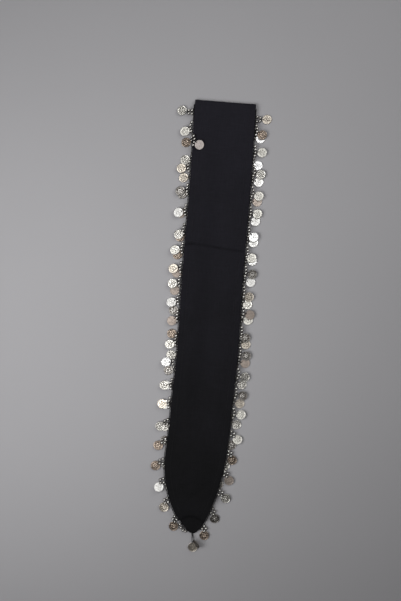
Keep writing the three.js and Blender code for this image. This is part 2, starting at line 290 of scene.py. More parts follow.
@dataclass(frozen=True)
class BandForm:
    """The form that the folded band lies in, which its cloth and its trim share."""

    half_width: float = 38.7
    wall: float = 1.2
    fold_at: float = 275.0
    taper_power: float = 0.7
    tip_stop: float = 1.5
    slip_length: float = 80.0
    lift_reach: float = 0.6
    cuts: dict[Half, Cut] = field(default_factory=lambda: {
        Half.UPPER: Cut(length=550, taper=106, inset=0, slip=0),
        Half.UNDER: Cut(length=522, taper=150, inset=2.7, slip=0.9),
    })
    # Sideways drift of the centre line, as (place, x).
    sway: tuple[tuple[float, float], ...] = (
        (0, 0), (105, 1.4), (215, 0.8), (320, 1.9), (400, -0.3), (484, -3.9), (512, -3.4), (550, 0.8),
    )
    # Height of the upper half's lower face, as (place, along the middle, along the edges).
    lift: tuple[tuple[float, float, float], ...] = (
        (0, 4.4, 4.4), (28, 3.4, 4.9), (75, 2.2, 4.9), (350, 2.2, 4.9), (450, 4.9, 4.9), (522, 4.9, 4.9),
        (541, 2.6, 2.6), (550, 1.4, 1.4),
    )
    # The old fold line across the upper half: place, slant, depth, width and how far it fades to the edges.
    crease: tuple[float, float, float, float, float] = (186, 3, 0.6, 4, 0.8)

    def slipped(self, place: float) -> float:
        """The share of its slip that one half has taken at a place."""
        return smooth(clamp(place / self.slip_length))

    def half_width_at(self, half: Half, place: float) -> float:
        """Half the width of one half of the band at a place.

        Args:
            half: the half of the band.
            place: the place on it.

        Returns:
            Half its width there.
        """
        cut = self.cuts[half]
        left = clamp((cut.length - place) / cut.taper)
        return (self.half_width - cut.inset * self.slipped(place)) * (1 - (1 - left) ** 2) ** self.taper_power

    def lift_at(self, place: float, x: float) -> float:
        """Height of the upper half's lower face.

        Args:
            place: the place on the upper half.
            x: the distance from its centre line.

        Returns:
            The height above the surface.
        """
        share = smooth(clamp(abs(x) / max(self.half_width_at(Half.UPPER, place), 1) / self.lift_reach))
        height = mix(read_table(self.lift, 1, place), read_table(self.lift, 2, place), share)
        start, slant, depth, width, fade = self.crease
        away = (place - start - slant * (x / self.half_width)) / width
        return height - depth * (1 - fade * share) * math.exp(-away * away)

    def bend_radius(self) -> float:
        """Radius of the bend at the fold, to the middle of the wall."""
        return (self.wall_point(Half.UPPER, 0, 0)[2] - self.wall_point(Half.UNDER, 0, 0)[2]) / 2

    def bend_reach(self) -> float:
        """How far down the band the bend reaches."""
        return self.bend_radius() + self.wall / 2

    def wall_point(self, half: Half, place: float, x: float) -> Array:
        """The middle of one half's wall.

        Args:
            half: the half of the band.
            place: the place on it.
            x: the distance from its centre line.

        Returns:
            The point.
        """
        height = (self.lift_at(place, x) if half is Half.UPPER else 0) + self.wall / 2
        middle = read_table(self.sway, 1, place) + self.cuts[half].slip * self.slipped(place)
        return np.array([middle + x, self.fold_at - place, height])


class EdgeTrace:
    """One edge of one half, traced from the fold to the point."""

    def __init__(self, form: BandForm, half: Half, side: Side) -> None:
        """Traces the edge.

        Args:
            form: the band's form.
            half: which half.
            side: which edge of it.
        """
        self.half, self.side = half, side
        self.places = np.arange(0, math.floor(form.cuts[half].length - form.tip_stop) + 1, 1.0)
        self.points = np.array([form.wall_point(half, place, side.value * form.half_width_at(half, place))
                                for place in self.places])
        steps = np.linalg.norm(np.diff(self.points[:, :2], axis=0), axis=1)
        self.runs = np.concatenate([[0.0], np.cumsum(steps)])

    def read(self, column: Array, reading: float) -> EdgeFrame:
        """The frame on the edge where a column reads a number.

        Args:
            column: places or runs, both in order.
            reading: the number to find.

        Returns:
            The frame there.
        """
        above = int(np.searchsorted(column, reading, side="right"))
        following = min(max(above, 1), len(column) - 1)
        share = (reading - column[following - 1]) / (column[following] - column[following - 1])
        a, b = self.points[following - 1], self.points[following]
        along = unit((b - a) * [1, 1, 0])
        out = np.array([-along[1], along[0], 0]) * self.side.value
        place = mix(self.places[following - 1], self.places[following], share)
        return EdgeFrame(a + (b - a) * share, place, along, out)

    def at_place(self, place: float) -> EdgeFrame:
        """The frame at a place down the band."""
        return self.read(self.places, place)

    def at_run(self, run: float) -> EdgeFrame:
        """The frame at a length along the edge."""
        return self.read(self.runs, run)


# ---------------------------------------------------------------- finishes


class Board:
    """Lays nodes into one node tree and joins them."""

    def __init__(self, tree: bpy.types.NodeTree) -> None:
        """Takes the tree to lay nodes into."""
        self.tree = tree

    def add(self, kind: str, inputs: dict[str | int, object] | None = None,
            **settings: object) -> bpy.types.Node:
        """Adds a node.

        Args:
            kind: the node's type.
            inputs: sockets to link from, or values to set, by input name or number.
            **settings: the node's own settings.

        Returns:
            The node.
        """
        node = self.tree.nodes.new(kind)
        for key, value in settings.items():
            setattr(node, key, value)
        for key, value in (inputs or {}).items():
            if isinstance(value, bpy.types.NodeSocket):
                self.tree.links.new(value, node.inputs[key])
            else:
                node.inputs[key].default_value = value
        return node

    def math(self, operation: str, *values: object) -> bpy.types.NodeSocket:
        """The result of a Math node on sockets or numbers."""
        return self.add("ShaderNodeMath", dict(enumerate(values)), operation=operation).outputs[0]

    def blend(self, share: object, a: object, b: object, kind: str = "MIX") -> bpy.types.NodeSocket:
        """Mixes colours a and b by the share of b, each a socket or a value."""
        node = self.add("ShaderNodeMix", {0: share, 6: a, 7: b}, data_type="RGBA", blend_type=kind)
        return node.outputs[2]

    def remap(self, value: bpy.types.NodeSocket, start: tuple[float, float], end: tuple[float, float]
              ) -> bpy.types.NodeSocket:
        """Maps the range of values from start on the range end, clamped."""
        inputs = {0: value, 1: start[0], 2: start[1], 3: end[0], 4: end[1]}
        return self.add("ShaderNodeMapRange", inputs).outputs[0]


def make_group(name: str, inputs: dict[str, float], outputs: Sequence[str]
               ) -> tuple[bpy.types.NodeTree, Board]:
    """Starts a shader node group.

    Args:
        name: the group's name.
        inputs: its number inputs and what they are by default.
        outputs: its number outputs.

    Returns:
        The group, with its input and output nodes named Group Input and Group Output, and a board on it.
    """
    group = bpy.data.node_groups.new(name, "ShaderNodeTree")
    for key, value in inputs.items():
        socket = group.interface.new_socket(name=key, in_out="INPUT", socket_type="NodeSocketFloat")
        socket.default_value = value
    for key in outputs:
        group.interface.new_socket(name=key, in_out="OUTPUT", socket_type="NodeSocketFloat")
    board = Board(group)
    board.add("NodeGroupInput", name="Group Input")
    board.add("NodeGroupOutput", name="Group Output")
    return group, board


def weave_group() -> bpy.types.NodeTree:
    """Plain weave: threads over and under each other, with slubs.

    Returns:
        A group that puts out the threads' Height and a Shade that goes from thread to thread.
    """
    group, board = make_group("PlainWeave", {"Threads per metre": 2200.0, "Slub": 0.3}, ["Height", "Shade"])
    given, put = group.nodes["Group Input"], group.nodes["Group Output"]
    place = board.add("ShaderNodeTexCoord").outputs["Object"]
    split = board.add("ShaderNodeSeparateXYZ", {0: place})
    waves = []
    for axis in (0, 1):
        turns = board.math("MULTIPLY", split.outputs[axis], given.outputs["Threads per metre"])
        waves.append(board.math("SINE", board.math("MULTIPLY", turns, math.pi)))
    crossing = board.math("MULTIPLY", waves[0], waves[1])
    slubs = []
    for stretch in ((90.0, 1500.0, 90.0), (1500.0, 90.0, 90.0)):
        scaled = board.add("ShaderNodeMapping", {"Vector": place, "Scale": stretch})
        noisy = board.add("ShaderNodeTexNoise", {"Vector": scaled.outputs[0], "Scale": 1.0, "Detail": 2.0})
        slubs.append(noisy.outputs[0])
    slub = board.math("MULTIPLY", board.math("ADD", slubs[0], slubs[1]), 0.5)
    height = board.math("ADD", board.math("MULTIPLY", board.math("ABSOLUTE", crossing), 0.6),
                        board.math("MULTIPLY", slub, given.outputs["Slub"]))
    group.links.new(height, put.inputs["Height"])
    group.links.new(slub, put.inputs["Shade"])
    return group


def fuzz_group() -> bpy.types.NodeTree:
    """Loose fibres and lint on cotton: a fine mottle at two scales.

    Returns:
        A group that puts out a Fibre height and a Fade mask of rubbed, lighter places.
    """
    group, board = make_group("CottonFuzz", {"Fibre scale": 900.0, "Fade scale": 14.0}, ["Fibre", "Fade"])
    given, put = group.nodes["Group Input"], group.nodes["Group Output"]
    place = board.add("ShaderNodeTexCoord").outputs["Object"]
    fibre = board.add("ShaderNodeTexNoise", {"Vector": place, "Scale": given.outputs["Fibre scale"],
                                             "Detail": 3.0})
    fade = board.add("ShaderNodeTexNoise", {"Vector": place, "Scale": given.outputs["Fade scale"],
                                            "Detail": 4.0, "Roughness": 0.6})
    group.links.new(fibre.outputs[0], put.inputs["Fibre"])
    group.links.new(board.remap(fade.outputs[0], (0.35, 0.7), (0.0, 1.0)), put.inputs["Fade"])
    return group


def handled_group() -> bpy.types.NodeTree:
    """Handled metal: dark grime in what lies low and scuffs on what stands proud.

    Returns:
        A group that takes the Relief, 0 low to 1 proud, and puts out a Grime mask, a Scuff mask and a Height.
    """
    group, board = make_group("HandledMetal", {"Relief": 1.0, "Amount": 0.6}, ["Grime", "Scuff", "Height"])
    given, put = group.nodes["Group Input"], group.nodes["Group Output"]
    place = board.add("ShaderNodeTexCoord").outputs["Object"]
    patches = board.add("ShaderNodeTexNoise", {"Vector": place, "Scale": 420.0, "Detail": 3.0}).outputs[0]
    scratches = board.add("ShaderNodeTexNoise", {"Vector": place, "Scale": 1600.0, "Detail": 2.0,
                                                 "Distortion": 1.5}).outputs[0]
    low = board.math("SUBTRACT", 1.0, given.outputs["Relief"])
    grime = board.math("MULTIPLY", board.math("ADD", low, board.remap(patches, (0.5, 0.75), (0.0, 0.5))),
                       given.outputs["Amount"])
    group.links.new(board.remap(grime, (0.0, 1.0), (0.0, 1.0)), put.inputs["Grime"])
    group.links.new(board.remap(scratches, (0.45, 0.75), (0.0, 1.0)), put.inputs["Scuff"])
    group.links.new(board.math("MULTIPLY", board.math("ADD", patches, scratches), 0.5), put.inputs["Height"])
    return group


@dataclass
class Effects:
    """The node groups that several finishes use, each built once."""

    weave: bpy.types.NodeTree = field(default_factory=weave_group)
    fuzz: bpy.types.NodeTree = field(default_factory=fuzz_group)
    handled: bpy.types.NodeTree = field(default_factory=handled_group)


def new_material(name: str) -> tuple[bpy.types.Material, Board, bpy.types.Node]:
    """Starts a node material.

    Args:
        name: its name.

    Returns:
        The material, a board on its tree, and its Principled shader.
    """
    material = bpy.data.materials.new(name)
    material.use_nodes = True
    return material, Board(material.node_tree), material.node_tree.nodes["Principled BSDF"]


@dataclass(frozen=True)
class CottonFinish:
    """Bluish black plain cotton, lighter and bluer towards the fold end as painted sheen, and faintly fading
    at random where it has been handled.
    """

    colour: tuple[float, float, float, float] = (0.0065, 0.0065, 0.0068, 1.0)
    # A lighter bluish colour, reached partly at random where the cloth is worn and partly as painted sheen
    # towards the fold end.
    wear_and_sheen_colour: tuple[float, float, float, float] = (0.0195, 0.0185, 0.0258, 1.0)
    painted_sheen_span: tuple[float, float] = (-0.22, 0.24)
    painted_shade_strength: float = 0.6
    threads_per_metre: float = 2400.0
    weave_depth: float = 0.00008
    roughness: tuple[float, float] = (0.78, 0.95)
    sheen: float = 0.04
    sheen_tint: tuple[float, float, float, float] = (0.75, 0.78, 1.0, 1.0)

    def build(self, effects: Effects) -> bpy.types.Material:
        """Makes the material from the shared effects.

        Args:
            effects: the effects that the finishes share.

        Returns:
            The material.
        """
        material, board, shader = new_material("black_cotton_plain_weave")
        weave = board.add("ShaderNodeGroup", node_tree=effects.weave)
        weave.inputs["Threads per metre"].default_value = self.threads_per_metre
        fuzz = board.add("ShaderNodeGroup", node_tree=effects.fuzz)
        place = board.add("ShaderNodeTexCoord").outputs["Object"]
        along = board.add("ShaderNodeSeparateXYZ", {0: place}).outputs[1]
        # Painted sheen: the colour grows lighter and bluer up the band towards the fold end.
        painted_sheen = board.remap(along, self.painted_sheen_span, (0.0, 0.8))
        handled = board.math("MULTIPLY", fuzz.outputs["Fade"], 0.2)
        even = board.blend(board.math("ADD", painted_sheen, handled), self.colour, self.wear_and_sheen_colour)
        # Painted shade: the colour is darkened towards black by the shade attribute, along the creases and
        # just past the under half's point.
        creased = board.add("ShaderNodeAttribute", attribute_name="shade").outputs["Fac"]
        ground = board.blend(board.math("MULTIPLY", creased, self.painted_shade_strength), even, (0.0, 0.0, 0.0, 1.0))
        shade = board.remap(weave.outputs["Shade"], (0.3, 0.7), (0.8, 1.2))
        shaded = board.blend(1.0, ground, board.add("ShaderNodeCombineColor", {0: shade, 1: shade, 2: shade})
                             .outputs[0], "MULTIPLY")
        fibres = board.math("MULTIPLY", fuzz.outputs["Fibre"], 0.4)
        height = board.math("ADD", weave.outputs["Height"], fibres)
        bump = board.add("ShaderNodeBump", {"Height": height, "Strength": 0.5, "Distance": self.weave_depth})
        links = material.node_tree.links
        links.new(shaded, shader.inputs["Base Color"])
        links.new(board.remap(fuzz.outputs["Fibre"], (0.3, 0.7), self.roughness), shader.inputs["Roughness"])
        links.new(bump.outputs[0], shader.inputs["Normal"])
        shader.inputs["Sheen Weight"].default_value = self.sheen
        shader.inputs["Sheen Roughness"].default_value = 0.5
        shader.inputs["Sheen Tint"].default_value = self.sheen_tint
        shader.inputs["Specular IOR Level"].default_value = 0.15
        return material


@dataclass(frozen=True)
class ThreadFinish:
    """Black sewing thread, twisted and a little shiny."""

    colour: tuple[float, float, float, float] = (0.010, 0.010, 0.011, 1.0)
    worn: tuple[float, float, float, float] = (0.022, 0.021, 0.023, 1.0)

    def build(self, effects: Effects) -> bpy.types.Material:
        """Makes the material from the shared effects.

        Args:
            effects: the effects that the finishes share.

        Returns:
            The material.
        """
        material, board, shader = new_material("black_twisted_thread")
        fuzz = board.add("ShaderNodeGroup", node_tree=effects.fuzz)
        fuzz.inputs["Fibre scale"].default_value = 2400.0
        fuzz.inputs["Fade scale"].default_value = 60.0
        place = board.add("ShaderNodeTexCoord").outputs["Object"]
        twist = board.add("ShaderNodeTexWave", {"Vector": place, "Scale": 420.0, "Distortion": 0.6},
                          bands_direction="DIAGONAL")
        height = board.math("ADD", twist.outputs[1], board.math("MULTIPLY", fuzz.outputs["Fibre"], 0.5))
        bump = board.add("ShaderNodeBump", {"Height": height, "Strength": 0.6, "Distance": 0.0001})
        links = material.node_tree.links
        links.new(board.blend(fuzz.outputs["Fade"], self.colour, self.worn), shader.inputs["Base Color"])
        links.new(board.remap(twist.outputs[1], (0.0, 1.0), (0.85, 0.65)), shader.inputs["Roughness"])
        links.new(bump.outputs[0], shader.inputs["Normal"])
        shader.inputs["Specular IOR Level"].default_value = 0.3
        return material


@dataclass(frozen=True)
class SilverFinish:
    """Silver-toned metal with grime in its low places; tone and polish are each piece's own values."""

    name: str
    grime_colour: tuple[float, float, float, float] = (0.055, 0.042, 0.034, 1.0)
    grime: float = 0.8
    rough_grime: float = 0.25

    def build(self, effects: Effects) -> bpy.types.Material:
        """Makes the material from the shared effects.

        Args:
            effects: the effects that the finishes share.

        Returns:
            The material.
        """
        material, board, shader = new_material(self.name)
        # The tone attribute is each coin's own colour; on the beads it also carries a painted highlight on
        # top and painted shade on the sides.
        tone = board.add("ShaderNodeAttribute", attribute_name="tone").outputs["Color"]
        relief = board.add("ShaderNodeAttribute", attribute_name="relief").outputs["Fac"]
        polish = board.add("ShaderNodeAttribute", attribute_name="polish").outputs["Fac"]
        handled = board.add("ShaderNodeGroup", {"Relief": relief, "Amount": self.grime},
                            node_tree=effects.handled)
        rougher = board.math("MULTIPLY", handled.outputs["Grime"], self.rough_grime)
        roughness = board.math("ADD", polish, rougher)
        scuffed = board.math("ADD", roughness, board.math("MULTIPLY", handled.outputs["Scuff"], 0.08))
        bump = board.add("ShaderNodeBump", {"Height": handled.outputs["Height"], "Strength": 0.25,
                                            "Distance": 0.00005})
        links = material.node_tree.links
        links.new(board.blend(handled.outputs["Grime"], tone, self.grime_colour), shader.inputs["Base Color"])
        links.new(scuffed, shader.inputs["Roughness"])
        links.new(bump.outputs[0], shader.inputs["Normal"])
        shader.inputs["Metallic"].default_value = 1.0
        return material


@dataclass(frozen=True)
class FloorFinish:
    """A plain pale matt surface with a barely seen mottle."""

    colour: tuple[float, float, float, float] = (0.51, 0.503, 0.520, 1.0)
    mottle: tuple[float, float, float, float] = (0.54, 0.533, 0.550, 1.0)

    def build(self) -> bpy.types.Material:
        """Makes the material.

        Returns:
            The material.
        """
        material, board, shader = new_material("pale_surface")
        place = board.add("ShaderNodeTexCoord").outputs["Object"]
        cloudy = board.add("ShaderNodeTexNoise", {"Vector": place, "Scale": 5.0, "Detail": 3.0}).outputs[0]
        mottled = board.blend(cloudy, self.colour, self.mottle)
        material.node_tree.links.new(mottled, shader.inputs["Base Color"])
        shader.inputs["Roughness"].default_value = 0.8
        shader.inputs["Specular IOR Level"].default_value = 0.2
        return material


@dataclass
class Finishes:
    """All the finishes of the bandana, each built once."""

    effects: Effects = field(default_factory=Effects)

    def __post_init__(self) -> None:
        """Builds the materials."""
        self.cotton = CottonFinish().build(self.effects)
        self.thread = ThreadFinish().build(self.effects)
        self.coin = SilverFinish("stamped_silver_coin").build(self.effects)
        self.bead = SilverFinish("polished_silver_bead", grime=0.6).build(self.effects)


# ---------------------------------------------------------------- cloth


@dataclass(frozen=True)
class Fold:
    """A crease or soft ridge laid on the upper half: a line from one point to another, as (place, x)."""

    start: tuple[float, float]
    end: tuple[float, float]
    height: float
    width: float
    # Painted shade: how far the cloth's colour is darkened towards black along this fold.
    dark: float = 0.0

    def share_at(self, place: float, x: float) -> float:
        """How much of the fold there is at one point of the cloth.

        Args:
            place: the place on the band.
            x: the distance from its centre line.

        Returns:
            The share of the fold, from 0 to 1.
        """
        a, b, p = np.array(self.start), np.array(self.end), np.array((place, x))
        share = float(np.dot(p - a, b - a) / np.dot(b - a, b - a))
        fade = smooth(clamp(share * 4)) * smooth(clamp((1 - share) * 4))
        away = float(np.linalg.norm(p - a - (b - a) * clamp(share))) / self.width
        return fade * math.exp(-away * away)


@dataclass
class Cloth:
    """The band: one layer of cotton with its edges turned under and sewn, folded across its middle."""

    form: BandForm
    finish: bpy.types.Material
    thread: bpy.types.Material
    layer: float = 0.5
    layer_gap: float = 0.06
    hem_width: float = 9.0
    hem_ridge: float = 0.22
    stitch_inset: float = 1.6
    stitch_pitch: float = 3.0
    stitch_length: float = 2.1
    stitch_radius: float = 0.2
    dimple: float = 0.3
    upper_step: float = 2.5
    under_step: float = 4.0
    under_point: float = 526.0
    point_drop: float = 1.3
    point_curve: float = 0.03
    drop_length: float = 2.0
    rise_length: float = 14.0
    fine_stretches: tuple[tuple[float, float], ...] = ((178, 193), (523, 545))
    fine_step: float = 0.7
    hem_most: float = 0.4
    seam_width: float = 0.7
    # Soft unevenness of the upper half, as (height, length across, length down, seed).
    unevenness: tuple[tuple[float, float, float, float], ...] = ((0.18, 26, 34, 1.7), (0.10, 9, 11, 5.1))
    pucker: float = 0.12
    pucker_pitch: float = 12.2
    # Painted shade along the under half's point: how far past it, how wide and how dark.
    point_shade: tuple[float, float, float] = (1.5, 2.6, 0.5)
    fold_steps: int = 10
    folds: tuple[Fold, ...] = (
        Fold((468, 40), (508, -6), -0.8, 3.2),
        Fold((458, 40), (505, 12), 0.6, 4.0),
        Fold((60, -34), (120, -8), 0.25, 8.0),
        Fold((250, 30), (310, 4), 0.25, 9.0),
        Fold((330, -32), (400, 6), -0.25, 9.0),
        Fold((12, -38), (10, 38), 0.25, 7.0),
        # The old crease across the band: grooves with painted shade darkening the cloth along them, and a
        # ridge beside them.
        Fold((188, -56), (182, -24), -0.4, 1.7, dark=0.6),
        Fold((181.5, -42), (185.5, 12), -0.4, 1.7, dark=0.5),
        Fold((184.5, -6), (188.5, 44), -0.4, 1.7, dark=0.5),
        Fold((183.6, -50), (185.6, 30), 0.35, 1.6),
    )

    def hem_at(self, half: Half, place: float) -> float:
        """How far the hem reaches in from the edge at a place."""
        return min(self.hem_width, self.form.half_width_at(half, place) * self.hem_most)

    def relief(self, half: Half, place: float, x: float) -> float:
        """How far the outer face stands proud of the plain form.

        Args:
            half: which half.
            place: the place down the band.
            x: the distance from the centre line.

        Returns:
            The height in millimetres.
        """
        width = self.form.half_width_at(half, place)
        inside = width - self.hem_at(half, place)
        hem = smooth(clamp((abs(x) - inside + 0.8) / 1.2)) * self.hem_ridge
        seam = (abs(x) - inside - self.stitch_inset) / self.seam_width
        sewn = -self.dimple * math.exp(-seam * seam) * min(1.0, width / 12)
        if half is Half.UNDER:
            return sewn
        soft = sum(high * noise.noise(Vector((x / wide, place / long, seed)))
                   for high, wide, long, seed in self.unevenness)
        near_edge = smooth(clamp((abs(x) / width - 0.75) * 4))
        pucker = self.pucker * math.sin(place * 2 * math.pi / self.pucker_pitch) * near_edge
        creased = sum(fold.height * fold.share_at(place, x) for fold in self.folds)
        return hem + sewn + soft + pucker + creased - self.drop_over_point(place, x)

    def shade(self, half: Half, place: float, x: float) -> float:
        """How much painted shade darkens the cloth's colour, from 0 to 1: along its creases and just past the
        under half's point.

        Args:
            half: which half.
            place: the place down the band.
            x: the distance from the centre line.

        Returns:
            The share.
        """
        if half is Half.UNDER:
            return 0.0
        after, width, dark = self.point_shade
        past = (place - self.under_point - self.point_curve * x * x - after) / width
        folded = sum(fold.dark * fold.share_at(place, x) for fold in self.folds)
        return clamp(folded + dark * math.exp(-past * past))

    def drop_over_point(self, place: float, x: float) -> float:
        """How far the upper half drops just past the under half's point.

        Args:
            place: the place on the upper half.
            x: the distance from its centre line.

        Returns:
            The depth of the drop.
        """
        past = place - self.under_point - self.point_curve * x * x
        dropped = smooth(clamp(past / self.drop_length))
        return self.point_drop * dropped * (1 - smooth(clamp((past - self.drop_length) / self.rise_length)))

    def ring(self, half: Half, place: float) -> list[tuple[float, float]]:
        """The section of the cloth across the band, with its turned hems.

        Args:
            half: which half.
            place: the place down the band.

        Returns:
            Points as (x, depth under the outer face), once around the section.
        """
        width, hem = self.form.half_width_at(half, place), self.hem_at(half, place)
        scale = min(1.0, width / 16)
        turn = (self.layer + self.layer_gap / 2) * min(1.0, width / 4)
        inside, edge = width - hem, width - turn
        middle = np.linspace(0, inside - 2 * scale, 11)
        seam = [inside + away * scale for away in (-1.2, -0.5, 0, 0.6, 1.1, 1.6, 2.2, 3.4)]
        lanes = [*middle, *seam, mix(inside, edge, 0.7), edge]
        deep = 2 * turn
        outer = [(-x, 0.0) for x in reversed(lanes)] + [(x, 0.0) for x in lanes[1:]]
        angles = np.radians([30, 60, 90, 120, 150])
        bend = [(edge + turn * math.sin(a), turn - turn * math.cos(a)) for a in angles]
        under_hem = [(edge, deep), (mix(inside, edge, 0.5), deep), (inside + 0.3 * scale, deep),
                     (inside, deep - 0.1)]
        slot = deep - self.layer * min(1.0, width / 4)
        back = [(inside, slot), (mix(inside, edge, 0.5), slot), (edge, slot), (edge, deep - slot)]
        inner = [(x, deep - slot) for x in (mix(inside, edge, 0.5), inside, *reversed(middle[1::2]))]
        right = bend + under_hem + back + inner
        left = [(-x, depth) for x, depth in reversed(right)]
        return outer + right + left

    def place_ring(self, half: Half, place: float, to_point: Callable[[float], Array],
                   inward: Array) -> Array:
        """Sets one section in space.

        Args:
            half: which half.
            place: the place down the band.
            to_point: gives the middle of the wall at a distance from the centre line.
            inward: the direction in to the other half.

        Returns:
            The section's points.
        """
        offset = self.form.wall / 2
        return np.array([to_point(x) + inward * (depth - offset - self.relief(half, place, x))
                         for x, depth in self.ring(half, place)])

    def places(self, half: Half) -> list[float]:
        """The places at which one half gets a section.

        Args:
            half: the half of the band.

        Returns:
            The places, from the fold to the point.
        """
        end = self.form.cuts[half].length - self.form.tip_stop
        step = self.upper_step if half is Half.UPPER else self.under_step
        near_point = [end - 3, end - 1.2, end]
        plain = [*np.arange(self.form.bend_reach(), end - 5, step), *near_point]
        if half is Half.UNDER:
            return plain
        kept = [place for place in plain if not any(a < place < b for a, b in self.fine_stretches)]
        fine = [place for a, b in self.fine_stretches for place in np.arange(a, b, self.fine_step)]
        return sorted([*kept, *fine])

    def build_band(self) -> bpy.types.Object:
        """Builds the folded sheet.

        Returns:
            The piece.
        """
        form, rings, sections = self.form, [], []
        for place in reversed(self.places(Half.UNDER)):
            sections.append((Half.UNDER, place))
            rings.append(self.place_ring(Half.UNDER, place,
                                         lambda x, p=place: form.wall_point(Half.UNDER, p, x), UP))
        radius = form.bend_radius()
        centre = form.wall_point(Half.UNDER, form.bend_reach(), 0) + UP * radius
        for i in range(1, self.fold_steps):
            angle = math.pi * i / self.fold_steps
            inward = np.array([0, -math.sin(angle), math.cos(angle)])
            half = Half.UNDER if i < self.fold_steps / 2 else Half.UPPER
            sections.append((half, 0))
            rings.append(self.place_ring(half, 0,
                                         lambda x, v=inward: centre - v * radius + np.array([x, 0, 0]),
                                         inward))
        for place in self.places(Half.UPPER):
            sections.append((Half.UPPER, place))
            rings.append(self.place_ring(Half.UPPER, place,
                                         lambda x, p=place: form.wall_point(Half.UPPER, p, x), -UP))
        draft = MeshDraft()
        shades = [self.shade(half, place, x) for half, place in sections for x, _ in self.ring(half, place)]
        draft.add(np.vstack(rings), ring_faces(len(rings), len(rings[0])), shade=np.array(shades))
        return draft.build("cloth_band", self.finish)

    def build_stitches(self) -> bpy.types.Object:
        """Builds the running stitches along the hems.

        Returns:
            The piece.
        """
        draft = MeshDraft()
        for half, inward in ((Half.UPPER, -UP), (Half.UNDER, UP)):
            for side in Side:
                for place in np.arange(4, self.form.cuts[half].length - 12, self.stitch_pitch):
                    stops = []
                    for share, sunk in ((0, 0.45), (0.15, 0.2), (0.5, 0.12), (0.85, 0.2), (1, 0.45)):
                        at = place + share * self.stitch_length
                        inside = self.form.half_width_at(half, at) - self.hem_at(half, at)
                        x = side.value * (inside + self.stitch_inset)
                        depth = sunk - self.form.wall / 2 - self.relief(half, at, x) - self.stitch_radius / 2
                        if half is Half.UNDER:
                            depth = max(depth, self.stitch_radius - self.form.wall / 2)
                        stops.append(self.form.wall_point(half, at, x) + inward * depth)
                    draft.add(*tube(np.array(stops), self.stitch_radius, 5))
        return draft.build("hem_stitches", self.thread)

    def cut_area(self) -> tuple[tuple[float, float], float]:
        """The flat cut with its turnings.

        Returns:
            Its width and length, and its area in square metres.
        """
        width = 2 * (self.form.half_width + self.hem_width)
        length = sum(cut.length for cut in self.form.cuts.values())
        area = 0.0
        for half in Half:
            places = np.arange(0.5, self.form.cuts[half].length, 1.0)
            area += sum(2 * (self.form.half_width_at(half, p) + self.hem_at(half, p)) for p in places)
        return (width * MM, length * MM), area * MM * MM


# ---------------------------------------------------------------- beads and coins


@dataclass(frozen=True)
class BeadShape:
    """A round metal bead, pierced for its thread."""

    radius: float = 1.9
    hole: float = 0.45
    length: float = 1.75
    sides: int = 16
    rings: int = 9

    def template(self) -> tuple[Array, list[tuple[int, ...]], Array]:
        """One bead with its hole along X.

        Returns:
            Its points, its faces and how proud each point stands.
        """
        start = math.asin(self.hole / self.radius)
        angles = np.linspace(start, math.pi - start, self.rings)
        profile = [(-self.length * math.cos(a) / math.cos(start), self.radius * math.sin(a)) for a in angles]
        profile += [(profile[-1][0] - 0.25, self.hole * 0.85), (profile[0][0] + 0.25, self.hole * 0.85)]
        turns = np.arange(self.sides) * 2 * math.pi / self.sides
        points = np.array([[x, r * math.cos(t), r * math.sin(t)] for x, r in profile for t in turns])
        count, n = len(profile), self.sides
        faces = [(p * n + i, p * n + (i + 1) % n, (p + 1) % count * n + (i + 1) % n, (p + 1) % count * n + i)
                 for p in range(count) for i in range(n)]
        proud = [1.0 if 0.5 < r / self.radius else 0.15 for _, r in profile]
        return points, faces, np.repeat(proud, n)


